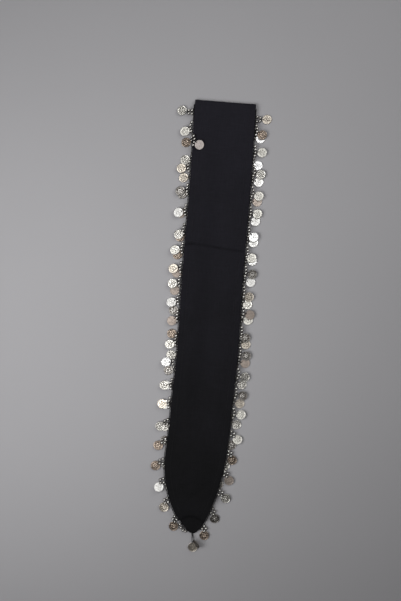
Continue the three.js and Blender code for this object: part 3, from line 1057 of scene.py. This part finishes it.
@dataclass(frozen=True)
class CoinShape:
    """A thin stamped coin: a raised rim, a ring of dots and a six-petalled rosette round a boss."""

    radius: float = 6.0
    thickness: float = 0.4
    hole_inset: float = 1.6
    hole_radius: float = 0.6
    rim: float = 0.3
    rim_ring: float = 5.65
    rim_width: float = 0.25
    dots: int = 13
    dot_ring: float = 4.5
    dot_radius: float = 0.6
    dot_height: float = 0.32
    petals: int = 6
    petal_height: float = 0.3
    boss_height: float = 0.4
    boss_radius: float = 1.0
    hole_sides: int = 12
    sides: int = 44
    sunk: float = 0.15

    def height(self, x: float, y: float, turn: float) -> float:
        """How far the stamped face stands up.

        Args:
            x: distance from the middle, away from the hole.
            y: distance from the middle, across.
            turn: how far the rosette is turned.

        Returns:
            The height in millimetres.
        """
        r, angle = math.hypot(x, y), math.atan2(y, x)
        rim = self.rim * math.exp(-(((r - self.rim_ring) / self.rim_width) ** 2))
        step = 2 * math.pi / self.dots
        nearest = round(angle / step) * step
        to_dot = math.hypot(x - self.dot_ring * math.cos(nearest), y - self.dot_ring * math.sin(nearest))
        at_hole = abs(nearest) >= math.pi - step / 2
        dots = 0.0 if at_hole else self.dot_height * math.exp(-((to_dot / self.dot_radius) ** 2))
        petal = abs(math.cos((angle + turn) * self.petals / 2))
        reach = 1.5 + 2.1 * petal
        within = smooth(clamp((reach - r) / 0.5)) * smooth(clamp((r - 1.2) / 0.5))
        leaf = self.petal_height * within * (0.35 + 0.65 * petal**0.5)
        boss = self.boss_height * math.sqrt(max(0.0, 1 - (r / self.boss_radius) ** 2))
        return rim + dots + leaf + boss

    def template(self, turn: float) -> tuple[Array, Array, list[tuple[int, ...]], Array]:
        """One coin, its face up and its hole towards -X.

        Args:
            turn: how far the rosette is turned.

        Returns:
            Its points without the relief, its relief, its faces and how proud each point stands.
        """
        flat: list[tuple[float, float]] = [(0.0, 0.0)]
        for r in (0.55, 1.0, 1.3, 1.7, 2.3, 2.9, 3.4, 3.9, 4.3, 4.75, 5.15, 5.4, 5.6, 5.82, self.radius):
            sides = self.sides if r > 3 else self.sides // 2 if r > 0.9 else 8
            flat += [(r * math.cos(a), r * math.sin(a)) for a in np.arange(sides) * 2 * math.pi / sides]
        hole_at = self.hole_inset - self.radius
        clear = [p for p in flat if math.hypot(p[0] - hole_at, p[1]) > self.hole_radius + 0.18]
        ring = [(hole_at + self.hole_radius * math.cos(a), self.hole_radius * math.sin(a))
                for a in np.arange(self.hole_sides) * 2 * math.pi / self.hole_sides]
        plan = clear + ring
        rim_start = len(clear) - self.sides
        rim_loop = [rim_start + i for i in range(self.sides)]
        hole_loop = [len(clear) + i for i in range(self.hole_sides)]
        edges = [(a, b) for loop in (rim_loop, hole_loop) for a, b in zip(loop, [*loop[1:], loop[0]])]
        result = delaunay_2d_cdt([Vector(p) for p in plan], edges, [], 0, 1e-6)
        corners = [tuple(p) for p in result[0]]
        upper = []
        for face in result[2]:
            middle = np.mean([corners[i] for i in face], axis=0)
            if math.hypot(middle[0] - hole_at, middle[1]) > self.hole_radius * 0.95:
                upper.append(tuple(face))
        size = len(corners)
        heights = np.array([self.height(x, y, turn) for x, y in corners])
        top = np.array([(x, y, self.thickness / 2) for x, y in corners])
        lower = [tuple(i + size for i in reversed(face)) for face in upper]
        faces = [*upper, *lower, *self.walls(upper, size)]
        proud = np.clip(heights / 0.22, 0.0, 1.0)
        points = np.vstack([top, top * [1, 1, -1]])
        return points, np.tile(heights - self.sunk, 2), faces, np.tile(proud, 2)

    @staticmethod
    def walls(upper: Sequence[tuple[int, ...]], size: int) -> list[tuple[int, ...]]:
        """Closes the rim and the hole between the two faces.

        Args:
            upper: the upper face's triangles.
            size: how many points the upper face has.

        Returns:
            The wall faces.
        """
        uses: dict[tuple[int, int], int] = {}
        for face in upper:
            for a, b in zip(face, (*face[1:], face[0])):
                uses[a, b] = uses.get((a, b), 0) + 1
        return [(b, a, a + size, b + size) for a, b in uses if (b, a) not in uses]


@dataclass(frozen=True)
class Hang:
    """How one coin lies: where its hole is, which way it hangs, how it is tilted and its tone."""

    hole: Array
    heading: Array
    pitch: float
    roll: float
    tone: Tone
    seed: float


@dataclass
class CoinMaker:
    """Lays stamped coins, turning the bright ones so that they catch the light."""

    shape: CoinShape = field(default_factory=CoinShape)
    # The two points between which the bright coins turn their faces, and how much of that turn they take.
    eye: tuple[float, float, float] = (-12.3, 19.2, 1300.0)
    lamp: tuple[float, float, float] = (100.0, 420.0, 1500.0)
    catch: float = 0.85
    warp: float = 0.3
    # How far one coin's tint and polish differ from the next one's.
    tint_wander: float = 0.10
    polish_wander: float = 0.3
    clearance: float = 0.1
    hole_lift: float = 0.4
    tarnish_edge: float = 0.35

    def __post_init__(self) -> None:
        """Stamps the pattern coins, one for each way that the rosette is turned."""
        self.patterns = [self.shape.template(turn) for turn in np.arange(4) * math.pi / 12]

    def hole_height(self, rest: float, pitch: float, roll: float) -> float:
        """Height of a tilted coin's hole above the surface.

        Args:
            rest: the height of what the coin rests on.
            pitch: its tilt along its hanging, in radians.
            roll: its tilt across its hanging, in radians.

        Returns:
            The height of the hole.
        """
        radius, inset = self.shape.radius, self.shape.hole_inset
        tilt = abs(math.sin(pitch)) + abs(math.sin(roll))
        return rest + self.hole_lift + radius * tilt + (radius - inset) * math.sin(pitch)

    def axes(self, hang: Hang) -> Array:
        """The directions of a coin's length, width and face.

        Args:
            hang: how the coin lies.

        Returns:
            The three directions as rows.
        """
        radial = hang.heading * math.cos(hang.pitch) - UP * math.sin(hang.pitch)
        across = turned(unit(np.cross(radial, UP)), radial, hang.roll)
        above = np.cross(across, radial)
        turn = hang.tone.value[2] * self.catch
        if turn:
            to_eye, to_lamp = unit(np.array(self.eye) - hang.hole), unit(np.array(self.lamp) - hang.hole)
            above = unit(above * (1 - turn) + unit(to_eye + to_lamp) * turn)
            radial = unit(radial - above * float(np.dot(radial, above)))
            across = np.cross(radial, above)
        return np.array([radial, across, above])

    def lay(self, draft: MeshDraft, hang: Hang) -> None:
        """Adds one coin to a draft.

        Args:
            draft: where it goes.
            hang: how it lies.
        """
        axes = self.axes(hang)
        points, relief, faces, proud = self.patterns[int(hang.seed) % len(self.patterns)]
        colour, rough, _, depth, tarnish = hang.tone.value
        across, along = points[:, 0] / self.shape.radius, points[:, 1] / self.shape.radius
        bent = scatter(hang.seed, 13) * across * along + scatter(hang.seed, 14) * along**2
        local = points + np.outer(relief * depth + bent * self.warp, UP)
        if axes[2][2] < 0:
            local = local * [1, 1, -1]
            faces = [tuple(reversed(face)) for face in faces]
        placed = hang.hole + axes[0] * (self.shape.radius - self.shape.hole_inset) + local @ axes
        placed += UP * max(0.0, self.clearance - placed[:, 2].min())
        tint = np.clip(np.array(colour) * (1 + self.tint_wander * scatter(hang.seed, 9)), 0, 1)
        bright = np.clip((proud - tarnish) / self.tarnish_edge, 0, 1)
        draft.add(placed, faces, relief=bright, tone=np.array([tint]),
                  polish=np.full(len(placed), rough * (1 + self.polish_wander * scatter(hang.seed, 10))))


# ---------------------------------------------------------------- trim


@dataclass(frozen=True)
class Lay:
    """How the picots of one stretch lie; angles are in degrees and the heights are above the surface."""

    half: Half
    until: float
    reach: float
    spread: float
    lean: float
    link: float
    turn: float
    swing: float
    pitch: float
    roll: float
    beads: float
    rest: float


LAYS = (
    Lay(Half.UPPER, 30, reach=3.0, spread=10, lean=4, link=4.4, turn=0, swing=18, pitch=8, roll=2,
        beads=5.2, rest=1.9),
    Lay(Half.UPPER, 395, reach=2.4, spread=76, lean=4, link=4.4, turn=26, swing=22, pitch=8, roll=2,
        beads=6.2, rest=2.8),
    Lay(Half.UPPER, 512, reach=2.3, spread=6, lean=16, link=3.2, turn=42, swing=20, pitch=4, roll=3,
        beads=3.9, rest=1.8),
    Lay(Half.UPPER, 560, reach=2.3, spread=6, lean=20, link=3.2, turn=36, swing=24, pitch=8, roll=6,
        beads=2.1, rest=0.3),
    Lay(Half.UNDER, 30, reach=3.0, spread=10, lean=0, link=4.4, turn=0, swing=14, pitch=2, roll=1,
        beads=2.1, rest=0.3),
    Lay(Half.UNDER, 560, reach=2.3, spread=76, lean=4, link=4.2, turn=14, swing=24, pitch=2, roll=1,
        beads=2.1, rest=0.3),
)


@dataclass(frozen=True)
class Edging:
    """One trimmed edge: where its picots hang along it and the tones of their coins, one letter each."""

    half: Half
    side: Side
    first: float
    pitch: float
    tones: str
    to_point: float = 10.0

    @property
    def name(self) -> str:
        """The edge's name."""
        return f"{self.half.value}_{self.side.name.lower()}"

    @property
    def salt(self) -> int:
        """What sets this edge's scatter apart from the others'."""
        return (0 if self.half is Half.UPPER else 40) + (0 if self.side is Side.LEFT else 80)


EDGINGS = (
    Edging(Half.UPPER, Side.LEFT, first=17, pitch=24.6, tones="SPFCDWSPCSWRSWSCSBBWCBS", to_point=7),
    Edging(Half.UPPER, Side.RIGHT, first=34, pitch=25.6, tones="BPSPPWPDCRDDSDPPBRSDB", to_point=7),
    Edging(Half.UNDER, Side.LEFT, first=49, pitch=24.2, tones="BSCDRBBRRDBSDWWSDSPW"),
    Edging(Half.UNDER, Side.RIGHT, first=19, pitch=25.6, tones="CWWWRWWWWPPCRSCSDSDS"),
)


@dataclass(frozen=True)
class Stray:
    """How a picot strays: its slide along the edge, its own spread, and if it flipped or lost its coin."""

    slide: float = 0.0
    spread: float | None = None
    flipped: bool = False
    bare: bool = False


STRAYS = {
    (Half.UPPER, Side.LEFT, 1): Stray(slide=-7),
    (Half.UPPER, Side.LEFT, 2): Stray(slide=-13.5, flipped=True),
    (Half.UPPER, Side.LEFT, 3): Stray(slide=-5),
    (Half.UPPER, Side.LEFT, 9): Stray(slide=-7),
    (Half.UPPER, Side.LEFT, 10): Stray(slide=-8),
    (Half.UPPER, Side.LEFT, 11): Stray(slide=-12),
    (Half.UPPER, Side.LEFT, 12): Stray(slide=-6),
    (Half.UPPER, Side.LEFT, 13): Stray(slide=-2),
    (Half.UPPER, Side.LEFT, 22): Stray(slide=-8, spread=64, bare=True),
    (Half.UPPER, Side.RIGHT, 20): Stray(slide=-3),
    (Half.UNDER, Side.LEFT, 10): Stray(slide=7),
    (Half.UNDER, Side.LEFT, 11): Stray(slide=6),
    (Half.UNDER, Side.LEFT, 12): Stray(slide=7),
    (Half.UNDER, Side.RIGHT, 1): Stray(slide=-7),
}


@dataclass(frozen=True)
class Picot:
    """One loop of four beads with its coin, in the frame of its edge; angles are in radians."""

    frame: EdgeFrame
    lay: Lay
    index: int
    stray: Stray
    spread: float
    lean: float
    heading: float
    pitch: float
    roll: float


@dataclass
class Trim:
    """The trim of one edge: an edging cord, and picots of four beads and a coin."""

    form: BandForm
    edging: Edging
    finishes: Finishes
    coins: CoinMaker
    bead: BeadShape = field(default_factory=BeadShape)
    bead_pitch: float = 4.0
    # Bead colours painted by height: a light top as painted highlight and dark sides as painted shade.
    bead_painted_highlight: tuple[float, float, float] = (0.97, 0.95, 0.90)
    bead_painted_shade: tuple[float, float, float] = (0.10, 0.068, 0.05)
    # Painted highlight and shade on each bead: where its light top starts, as a share of its radius, and how
    # fast it comes in over the dark sides.
    painted_highlight_start: float = 0.6
    painted_highlight_gain: float = 3.0
    bead_polish: float = 0.36
    tint_wander: float = 0.12
    polish_wander: float = 0.06
    cord_radius: float = 0.5
    cord_ends: float = 6.0
    ply_offset: float = 0.22
    ply_turn: float = 5.0
    ply_share: float = 0.62
    cord_step: float = 1.6
    whip_pitch: float = 4.2
    whip_radius: float = 0.16
    thread_radius: float = 0.22
    flip_reach: float = -1.2
    flip_over: float = 1.7
    flip_rise: float = 7.6
    flip_heading: float = math.radians(38)
    flip_pitch: float = math.radians(26)
    # How far a picot's lean and spread wander, in degrees.
    wander: float = 8.0

    def __post_init__(self) -> None:
        """Traces the edge and starts the three pieces."""
        self.trace = EdgeTrace(self.form, self.edging.half, self.edging.side)
        self.bead_points, self.bead_faces, self.bead_proud = self.bead.template()
        self.metal, self.beads, self.thread = MeshDraft(), MeshDraft(), MeshDraft()

    def plan(self) -> list[Picot]:
        """Spaces the picots along the edge.

        Returns:
            The picots, from the fold to the point.
        """
        edging, salt, picots = self.edging, self.edging.salt, []
        while True:
            index = len(picots)
            stray = STRAYS.get((edging.half, edging.side, index), Stray())
            run = edging.first + index * edging.pitch + stray.slide + scatter(index + salt, 1)
            if run > self.trace.runs[-1] - edging.to_point:
                return picots
            at = self.trace.at_run(run)
            lay = next(row for row in LAYS if row.half is edging.half and at.place < row.until)
            lean = lay.lean + self.wander * scatter(index + salt, 3)
            picots.append(Picot(
                frame=at,
                lay=lay,
                index=index,
                stray=stray,
                spread=math.radians(stray.spread
                                    or abs(lay.spread + self.wander * scatter(index + salt, 2))),
                lean=math.radians(lean),
                heading=(self.flip_heading if stray.flipped
                         else math.radians(lean + lay.turn + lay.swing * scatter(index + salt, 4))),
                pitch=(self.flip_pitch if stray.flipped
                       else math.radians(lay.pitch * (0.7 + 0.3 * scatter(index + salt, 5)))),
                roll=math.radians(lay.roll * scatter(index + salt, 6)),
            ))

    def add_bead(self, centre: Array, way: Array, seed: float) -> None:
        """Strings one bead.

        Args:
            centre: its middle.
            way: the way that its thread runs.
            seed: a number for its own scatter.
        """
        way = unit(way)
        across = unit(np.cross(UP, way))
        axes = np.array([way, across, np.cross(way, across)])
        turned_points = self.bead_points @ axes
        height = turned_points[:, 2] / self.bead.radius
        # Painted highlight and shade: each bead's colour goes from dark at the sides to light at the top.
        painted_highlight = np.clip((height - self.painted_highlight_start) * self.painted_highlight_gain, 0, 1)[:, None]
        tint = np.array(self.bead_painted_shade) * (1 - painted_highlight) + np.array(self.bead_painted_highlight) * painted_highlight
        self.beads.add(centre + turned_points, self.bead_faces, relief=self.bead_proud,
                       tone=np.clip(tint * (1 + self.tint_wander * scatter(seed, 11)), 0, 1),
                       polish=np.full(len(turned_points),
                                      self.bead_polish + self.polish_wander * scatter(seed, 12)))

    def add_picot(self, picot: Picot) -> None:
        """Adds one picot's beads, threads and coin.

        Args:
            picot: how it lies.
        """
        at, lay, pitch = picot.frame, picot.lay, self.bead_pitch
        cloth_top = at.point[2] + self.form.wall / 2 + 0.25 + SEAM_GAP
        height = cloth_top + self.bead.radius if picot.stray.flipped else lay.beads
        reach = self.flip_reach if picot.stray.flipped else lay.reach
        away = -1 if picot.stray.flipped else 1

        def towards(angle: float) -> Array:
            """The plan direction at an angle from straight out."""
            return at.along * math.sin(angle) + at.out * (away * math.cos(angle))

        aside = pitch * (0.5 + math.sin(picot.spread))
        middle = at.at(0, reach, height) + towards(picot.lean) * pitch * math.cos(picot.spread)
        pair = [middle - at.along * pitch / 2, middle + at.along * pitch / 2]
        outer = [at.at(-aside, reach, height), at.at(aside, reach, height)]
        roots = [at.at(way * aside * 0.9, SEAM_GAP + self.cord_radius, at.point[2]) for way in (-1, 1)]
        overs = []
        if picot.stray.flipped:
            overs = [at.at(way * aside, self.flip_over, self.flip_rise) for way in (-1, 1)]
        stops = [roots[0], *overs[:1], outer[0], pair[0], pair[1], outer[1], *overs[1:], roots[1]]
        path = eased_path(stops, 4)
        self.thread.add(*tube(path, self.thread_radius, 5))
        seed = picot.index * 4.0 + self.edging.salt
        ways = [pair[0] - outer[0], pair[1] - outer[0], outer[1] - pair[0], outer[1] - pair[1]]
        for n, (centre, way) in enumerate(zip((outer[0], pair[0], pair[1], outer[1]), ways)):
            self.add_bead(centre, way, seed + n)
        if picot.stray.bare:
            return
        rest = cloth_top if picot.stray.flipped else lay.rest
        heading = towards(picot.heading)
        hole = middle + heading * lay.link
        hole[2] = self.coins.hole_height(rest, picot.pitch, picot.roll)
        tone = TONE_CODES[self.edging.tones[picot.index % len(self.edging.tones)]]
        self.hang_coin(middle, Hang(hole, heading, picot.pitch, picot.roll, tone, seed))

    def hang_coin(self, start: Array, hang: Hang) -> None:
        """Adds a coin and the loop of thread through its hole.

        Args:
            start: where the thread comes from.
            hang: how the coin lies.
        """
        self.coins.lay(self.metal, hang)
        above = self.coins.axes(hang)[2]
        beside = np.cross(UP, hang.heading) * 0.35
        rim = hang.hole - hang.heading * (self.coins.shape.hole_inset + 0.25)
        stops = [start - beside, rim + above * 0.65 - beside, hang.hole + above * 0.3,
                 hang.hole - above * 0.35, rim - above * 0.3 + beside, start + beside]
        self.thread.add(*tube(eased_path(stops, 3), self.thread_radius, 5))

    def add_cord(self) -> None:
        """Adds the two-ply edging cord and the stitches that hold it to the hem."""
        end = self.form.cuts[self.edging.half].length - self.cord_ends
        places = np.arange(self.cord_ends, end, self.cord_step)
        frames = [self.trace.at_place(place) for place in places]
        middle = SEAM_GAP + self.cord_radius
        for ply in (0.0, math.pi):
            path = []
            for frame_at, place in zip(frames, places):
                angle = place * 2 * math.pi / self.ply_turn + ply
                path.append(frame_at.at(0, middle + self.ply_offset * math.cos(angle),
                                        frame_at.point[2] + self.ply_offset * math.sin(angle)))
            self.thread.add(*tube(np.array(path), self.cord_radius * self.ply_share, 6))
        for place in np.arange(self.cord_ends + 2, end - 2, self.whip_pitch):
            at = self.trace.at_place(place)
            z, lower = at.point[2], self.edging.half is Half.UNDER
            top, bottom = z + 0.75, z - (0.4 if lower else 0.75)
            stops = [at.at(0, -1.6, top - 0.25), at.at(0.3, -0.6, top), at.at(0.5, 0.5, top - 0.1),
                     at.at(0.6, 1.35, z), at.at(0.6, 0.5, bottom)]
            self.thread.add(*tube(eased_path(stops, 2), self.whip_radius, 4))

    def build(self) -> list[bpy.types.Object]:
        """Builds the trim.

        Returns:
            Its pieces.
        """
        for picot in self.plan():
            self.add_picot(picot)
        self.add_cord()
        node = f"trim_{self.edging.name}"
        pieces = [
            self.metal.build(f"coins_{self.edging.name}", self.finishes.coin),
            self.beads.build(f"beads_{self.edging.name}", self.finishes.bead),
            self.thread.build(f"threads_{self.edging.name}", self.finishes.thread),
        ]
        for piece, slot in zip(pieces, ("silver_trim", "silver_trim", "black_thread")):
            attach(piece, "root")
            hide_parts(node)
        return pieces


@dataclass(frozen=True)
class HangingCoin:
    """A coin on a pendant: how far its hole is from the cloth's point, how it lies and its tone."""

    drop: float
    aside: float
    turn: float
    pitch: float
    roll: float
    tone: Tone
    rest: float = 0.3


@dataclass
class Pendant:
    """The knot at one point of the band, with threads down to its coins."""

    form: BandForm
    half: Half
    hanging: tuple[HangingCoin, ...]
    finishes: Finishes
    coins: CoinMaker
    knot_length: float = 2.2
    knot_radius: float = 0.95
    knot_rest: float = 1.2
    # The knot's radius along its length, and the turns of thread round it.
    knot_profile: tuple[float, ...] = (0.45, 0.75, 0.8, 0.8, 0.7, 0.4)
    wraps: int = 4
    wrap_pitch: float = 0.5
    wrap_radius: float = 0.26
    thread_radius: float = 0.3

    def build(self) -> list[bpy.types.Object]:
        """Builds the pendant.

        Returns:
            Its pieces.
        """
        tip = self.form.wall_point(self.half, self.form.cuts[self.half].length - self.form.tip_stop, 0)
        down = np.array([0.0, -1.0, 0.0])
        start = np.array([tip[0], tip[1] - SEAM_GAP, max(tip[2], self.knot_rest)])
        end = start + down * self.knot_length
        metal, thread = MeshDraft(), MeshDraft()
        core = np.linspace(start, end, len(self.knot_profile))
        thread.add(*tube(core, np.array(self.knot_profile), 8))
        for turn in range(self.wraps):
            self.add_wrap(thread, start + down * (0.35 + self.wrap_pitch * turn), 0.12 * turn)
        for n, coin in enumerate(self.hanging):
            self.add_coin(metal, thread, tip, end, coin, n)
        node = f"pendant_{self.half.value}"
        pieces = [metal.build(f"{node}_coins", self.finishes.coin),
                  thread.build(f"{node}_thread", self.finishes.thread)]
        for piece, slot in zip(pieces, ("silver_trim", "black_thread")):
            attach(piece, "root")
            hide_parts(node)
        return pieces

    def add_wrap(self, thread: MeshDraft, centre: Array, tilt: float) -> None:
        """Winds the thread once round the knot.

        Args:
            thread: where it goes.
            centre: the middle of the turn.
            tilt: how far the turn leans.
        """
        angles = np.linspace(0, 2 * math.pi, 15)
        size = self.knot_radius - 0.22
        path = np.array([centre + [size * math.cos(a), 0.25 * math.sin(a + tilt), size * math.sin(a)]
                         for a in angles])
        thread.add(*tube(path, self.wrap_radius, 5))

    def add_coin(self, metal: MeshDraft, thread: MeshDraft, tip: Array, end: Array, coin: HangingCoin,
                 n: int) -> None:
        """Hangs one coin.

        Args:
            metal: where the coin goes.
            thread: where its thread goes.
            tip: the cloth's point.
            end: the knot's end.
            coin: how it lies.
            n: its number.
        """
        shape = self.coins.shape
        pitch, roll = math.radians(coin.pitch), math.radians(coin.roll)
        height = self.coins.hole_height(coin.rest, pitch, roll)
        hole = np.array([tip[0] + coin.aside, tip[1] - coin.drop, height])
        heading = turned(np.array([0.0, -1.0, 0.0]), UP, math.radians(coin.turn))
        hang = Hang(hole, heading, pitch, roll, coin.tone, 200.0 + n)
        self.coins.lay(metal, hang)
        above = self.coins.axes(hang)[2]
        side = np.array([0.55, 0.0, 0.0])
        bow = (end + hole) / 2
        rim = hole - heading * (shape.hole_inset + 0.25)
        stops = [end - side * 0.4, bow - side * 1.6, rim + above * 0.6 - side * 0.4, hole + above * 0.3,
                 hole - above * 0.35, rim - above * 0.2 + side * 0.4, bow + side * 1.6, end + side * 0.4]
        thread.add(*tube(eased_path(stops, 3), self.thread_radius, 5))


PENDANTS = {
    Half.UPPER: (
        HangingCoin(drop=14, aside=1.2, turn=8, pitch=9, roll=5, tone=Tone.CHAMPAGNE),
        HangingCoin(drop=9.5, aside=3.6, turn=34, pitch=4, roll=62, tone=Tone.DARK),
    ),
    Half.UNDER: (HangingCoin(drop=8, aside=0, turn=-10, pitch=2, roll=2, tone=Tone.SILVER),),
}


# ---------------------------------------------------------------- studio


@dataclass(frozen=True)
class SoftLight:
    """A square soft light: its place, what it points at, its size, power and spread; metres and degrees."""

    name: str
    place: tuple[float, float, float]
    aim: tuple[float, float, float]
    size: float
    power: float
    spread: float = 180.0

    def build(self) -> None:
        """Hangs the light."""
        lamp = bpy.data.lights.new(self.name, "AREA")
        lamp.size, lamp.energy, lamp.spread = self.size, self.power, math.radians(self.spread)
        holder = bpy.data.objects.new(self.name, lamp)
        holder.location = self.place
        holder.rotation_euler = (Vector(self.aim) - Vector(self.place)).to_track_quat("-Z", "Y").to_euler()
        bpy.context.scene.collection.objects.link(holder)


@dataclass(frozen=True)
class Studio:
    """The pale floor, the soft room light and the camera straight above; lengths in metres."""

    camera_place: tuple[float, float, float] = (-0.0120, 0.0213, 1.3)
    camera_roll: float = math.radians(4.51)
    view_height: float = 0.7645
    sensor: float = 36.0
    floor_size: float = 8.0
    floor_drop: float = 0.0003
    zenith: float = 0.55
    horizon: float = 0.03
    ceiling_way: tuple[float, float, float] = (0.12, 0.20, 0.97)
    ceiling_edge: tuple[float, float] = (0.86, 0.97)
    lights: tuple[SoftLight, ...] = (
        SoftLight("left_softbox", (-0.5, -0.15, 0.7), (-0.15, 0.06, 0.0), 0.6, 1.42, 100.0),
        SoftLight("right_softbox", (0.5, 0.6, 0.7), (-0.16, 0.12, 0.0), 0.6, 0.66, 100.0),
        SoftLight("sparkle_lamp", (0.10, 0.42, 1.5), (0.0, 0.1, 0.0), 0.14, 1.15),
    )

    def build_camera(self) -> None:
        """Sets the camera."""
        camera = bpy.data.cameras.new("camera")
        camera.sensor_width = self.sensor
        camera.lens = self.sensor * self.camera_place[2] / self.view_height
        holder = bpy.data.objects.new("camera", camera)
        holder.location = self.camera_place
        holder.rotation_euler = (0, 0, self.camera_roll)
        bpy.context.scene.collection.objects.link(holder)
        bpy.context.scene.camera = holder

    def build_floor(self) -> None:
        """Lays the floor."""
        half = self.floor_size / 2
        corners = [(x * half, y * half, -self.floor_drop) for x, y in ((-1, -1), (1, -1), (1, 1), (-1, 1))]
        mesh = bpy.data.meshes.new("floor")
        mesh.from_pydata(corners, [], [(0, 1, 2, 3)])
        mesh.materials.append(FloorFinish().build())
        floor = bpy.data.objects.new("floor", mesh)
        bpy.context.scene.collection.objects.link(floor)

    def build_room(self) -> None:
        """Lights the room, brighter overhead than at the horizon."""
        world = bpy.data.worlds.new("room")
        world.use_nodes = True
        board = Board(world.node_tree)
        way = board.add("ShaderNodeTexCoord").outputs["Generated"]
        towards = board.add("ShaderNodeVectorMath", {0: way, 1: self.ceiling_way}, operation="DOT_PRODUCT")
        glow = board.remap(towards.outputs["Value"], self.ceiling_edge, (self.horizon, self.zenith))
        background = world.node_tree.nodes["Background"]
        colour = board.add("ShaderNodeCombineColor", {0: glow, 1: glow, 2: glow})
        world.node_tree.links.new(colour.outputs[0], background.inputs["Color"])
        bpy.context.scene.world = world

    def build(self) -> None:
        """Builds the whole studio."""
        self.build_camera()
        self.build_floor()
        self.build_room()
        for light in self.lights:
            light.build()
        bpy.context.scene.view_settings.view_transform = "Standard"


# ---------------------------------------------------------------- the bandana


def build_bandana() -> None:
    form, finishes, coins = BandForm(), Finishes(), CoinMaker()
    cloth = Cloth(form, finishes.cotton, finishes.thread)
    band, stitches = cloth.build_band(), cloth.build_stitches()
    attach(band, "root")
    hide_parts("band_cloth")
    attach(stitches, "root")
    sewn_on = [stitches]
    for edging in EDGINGS:
        sewn_on += Trim(form, edging, finishes, coins).build()
    for half, hanging in PENDANTS.items():
        sewn_on += Pendant(form, half, hanging, finishes, coins).build()
    flat, area = cloth.cut_area()
    LOG.info("cloth cut %.3f by %.3f m, %.4f square metres", *flat, area)


def main() -> None:
    """Builds the studio and the bandana."""
    logging.basicConfig(level=logging.INFO, format="%(name)s: %(message)s")
    Studio().build()
    build_bandana()


if __name__ == "__main__":
    main()
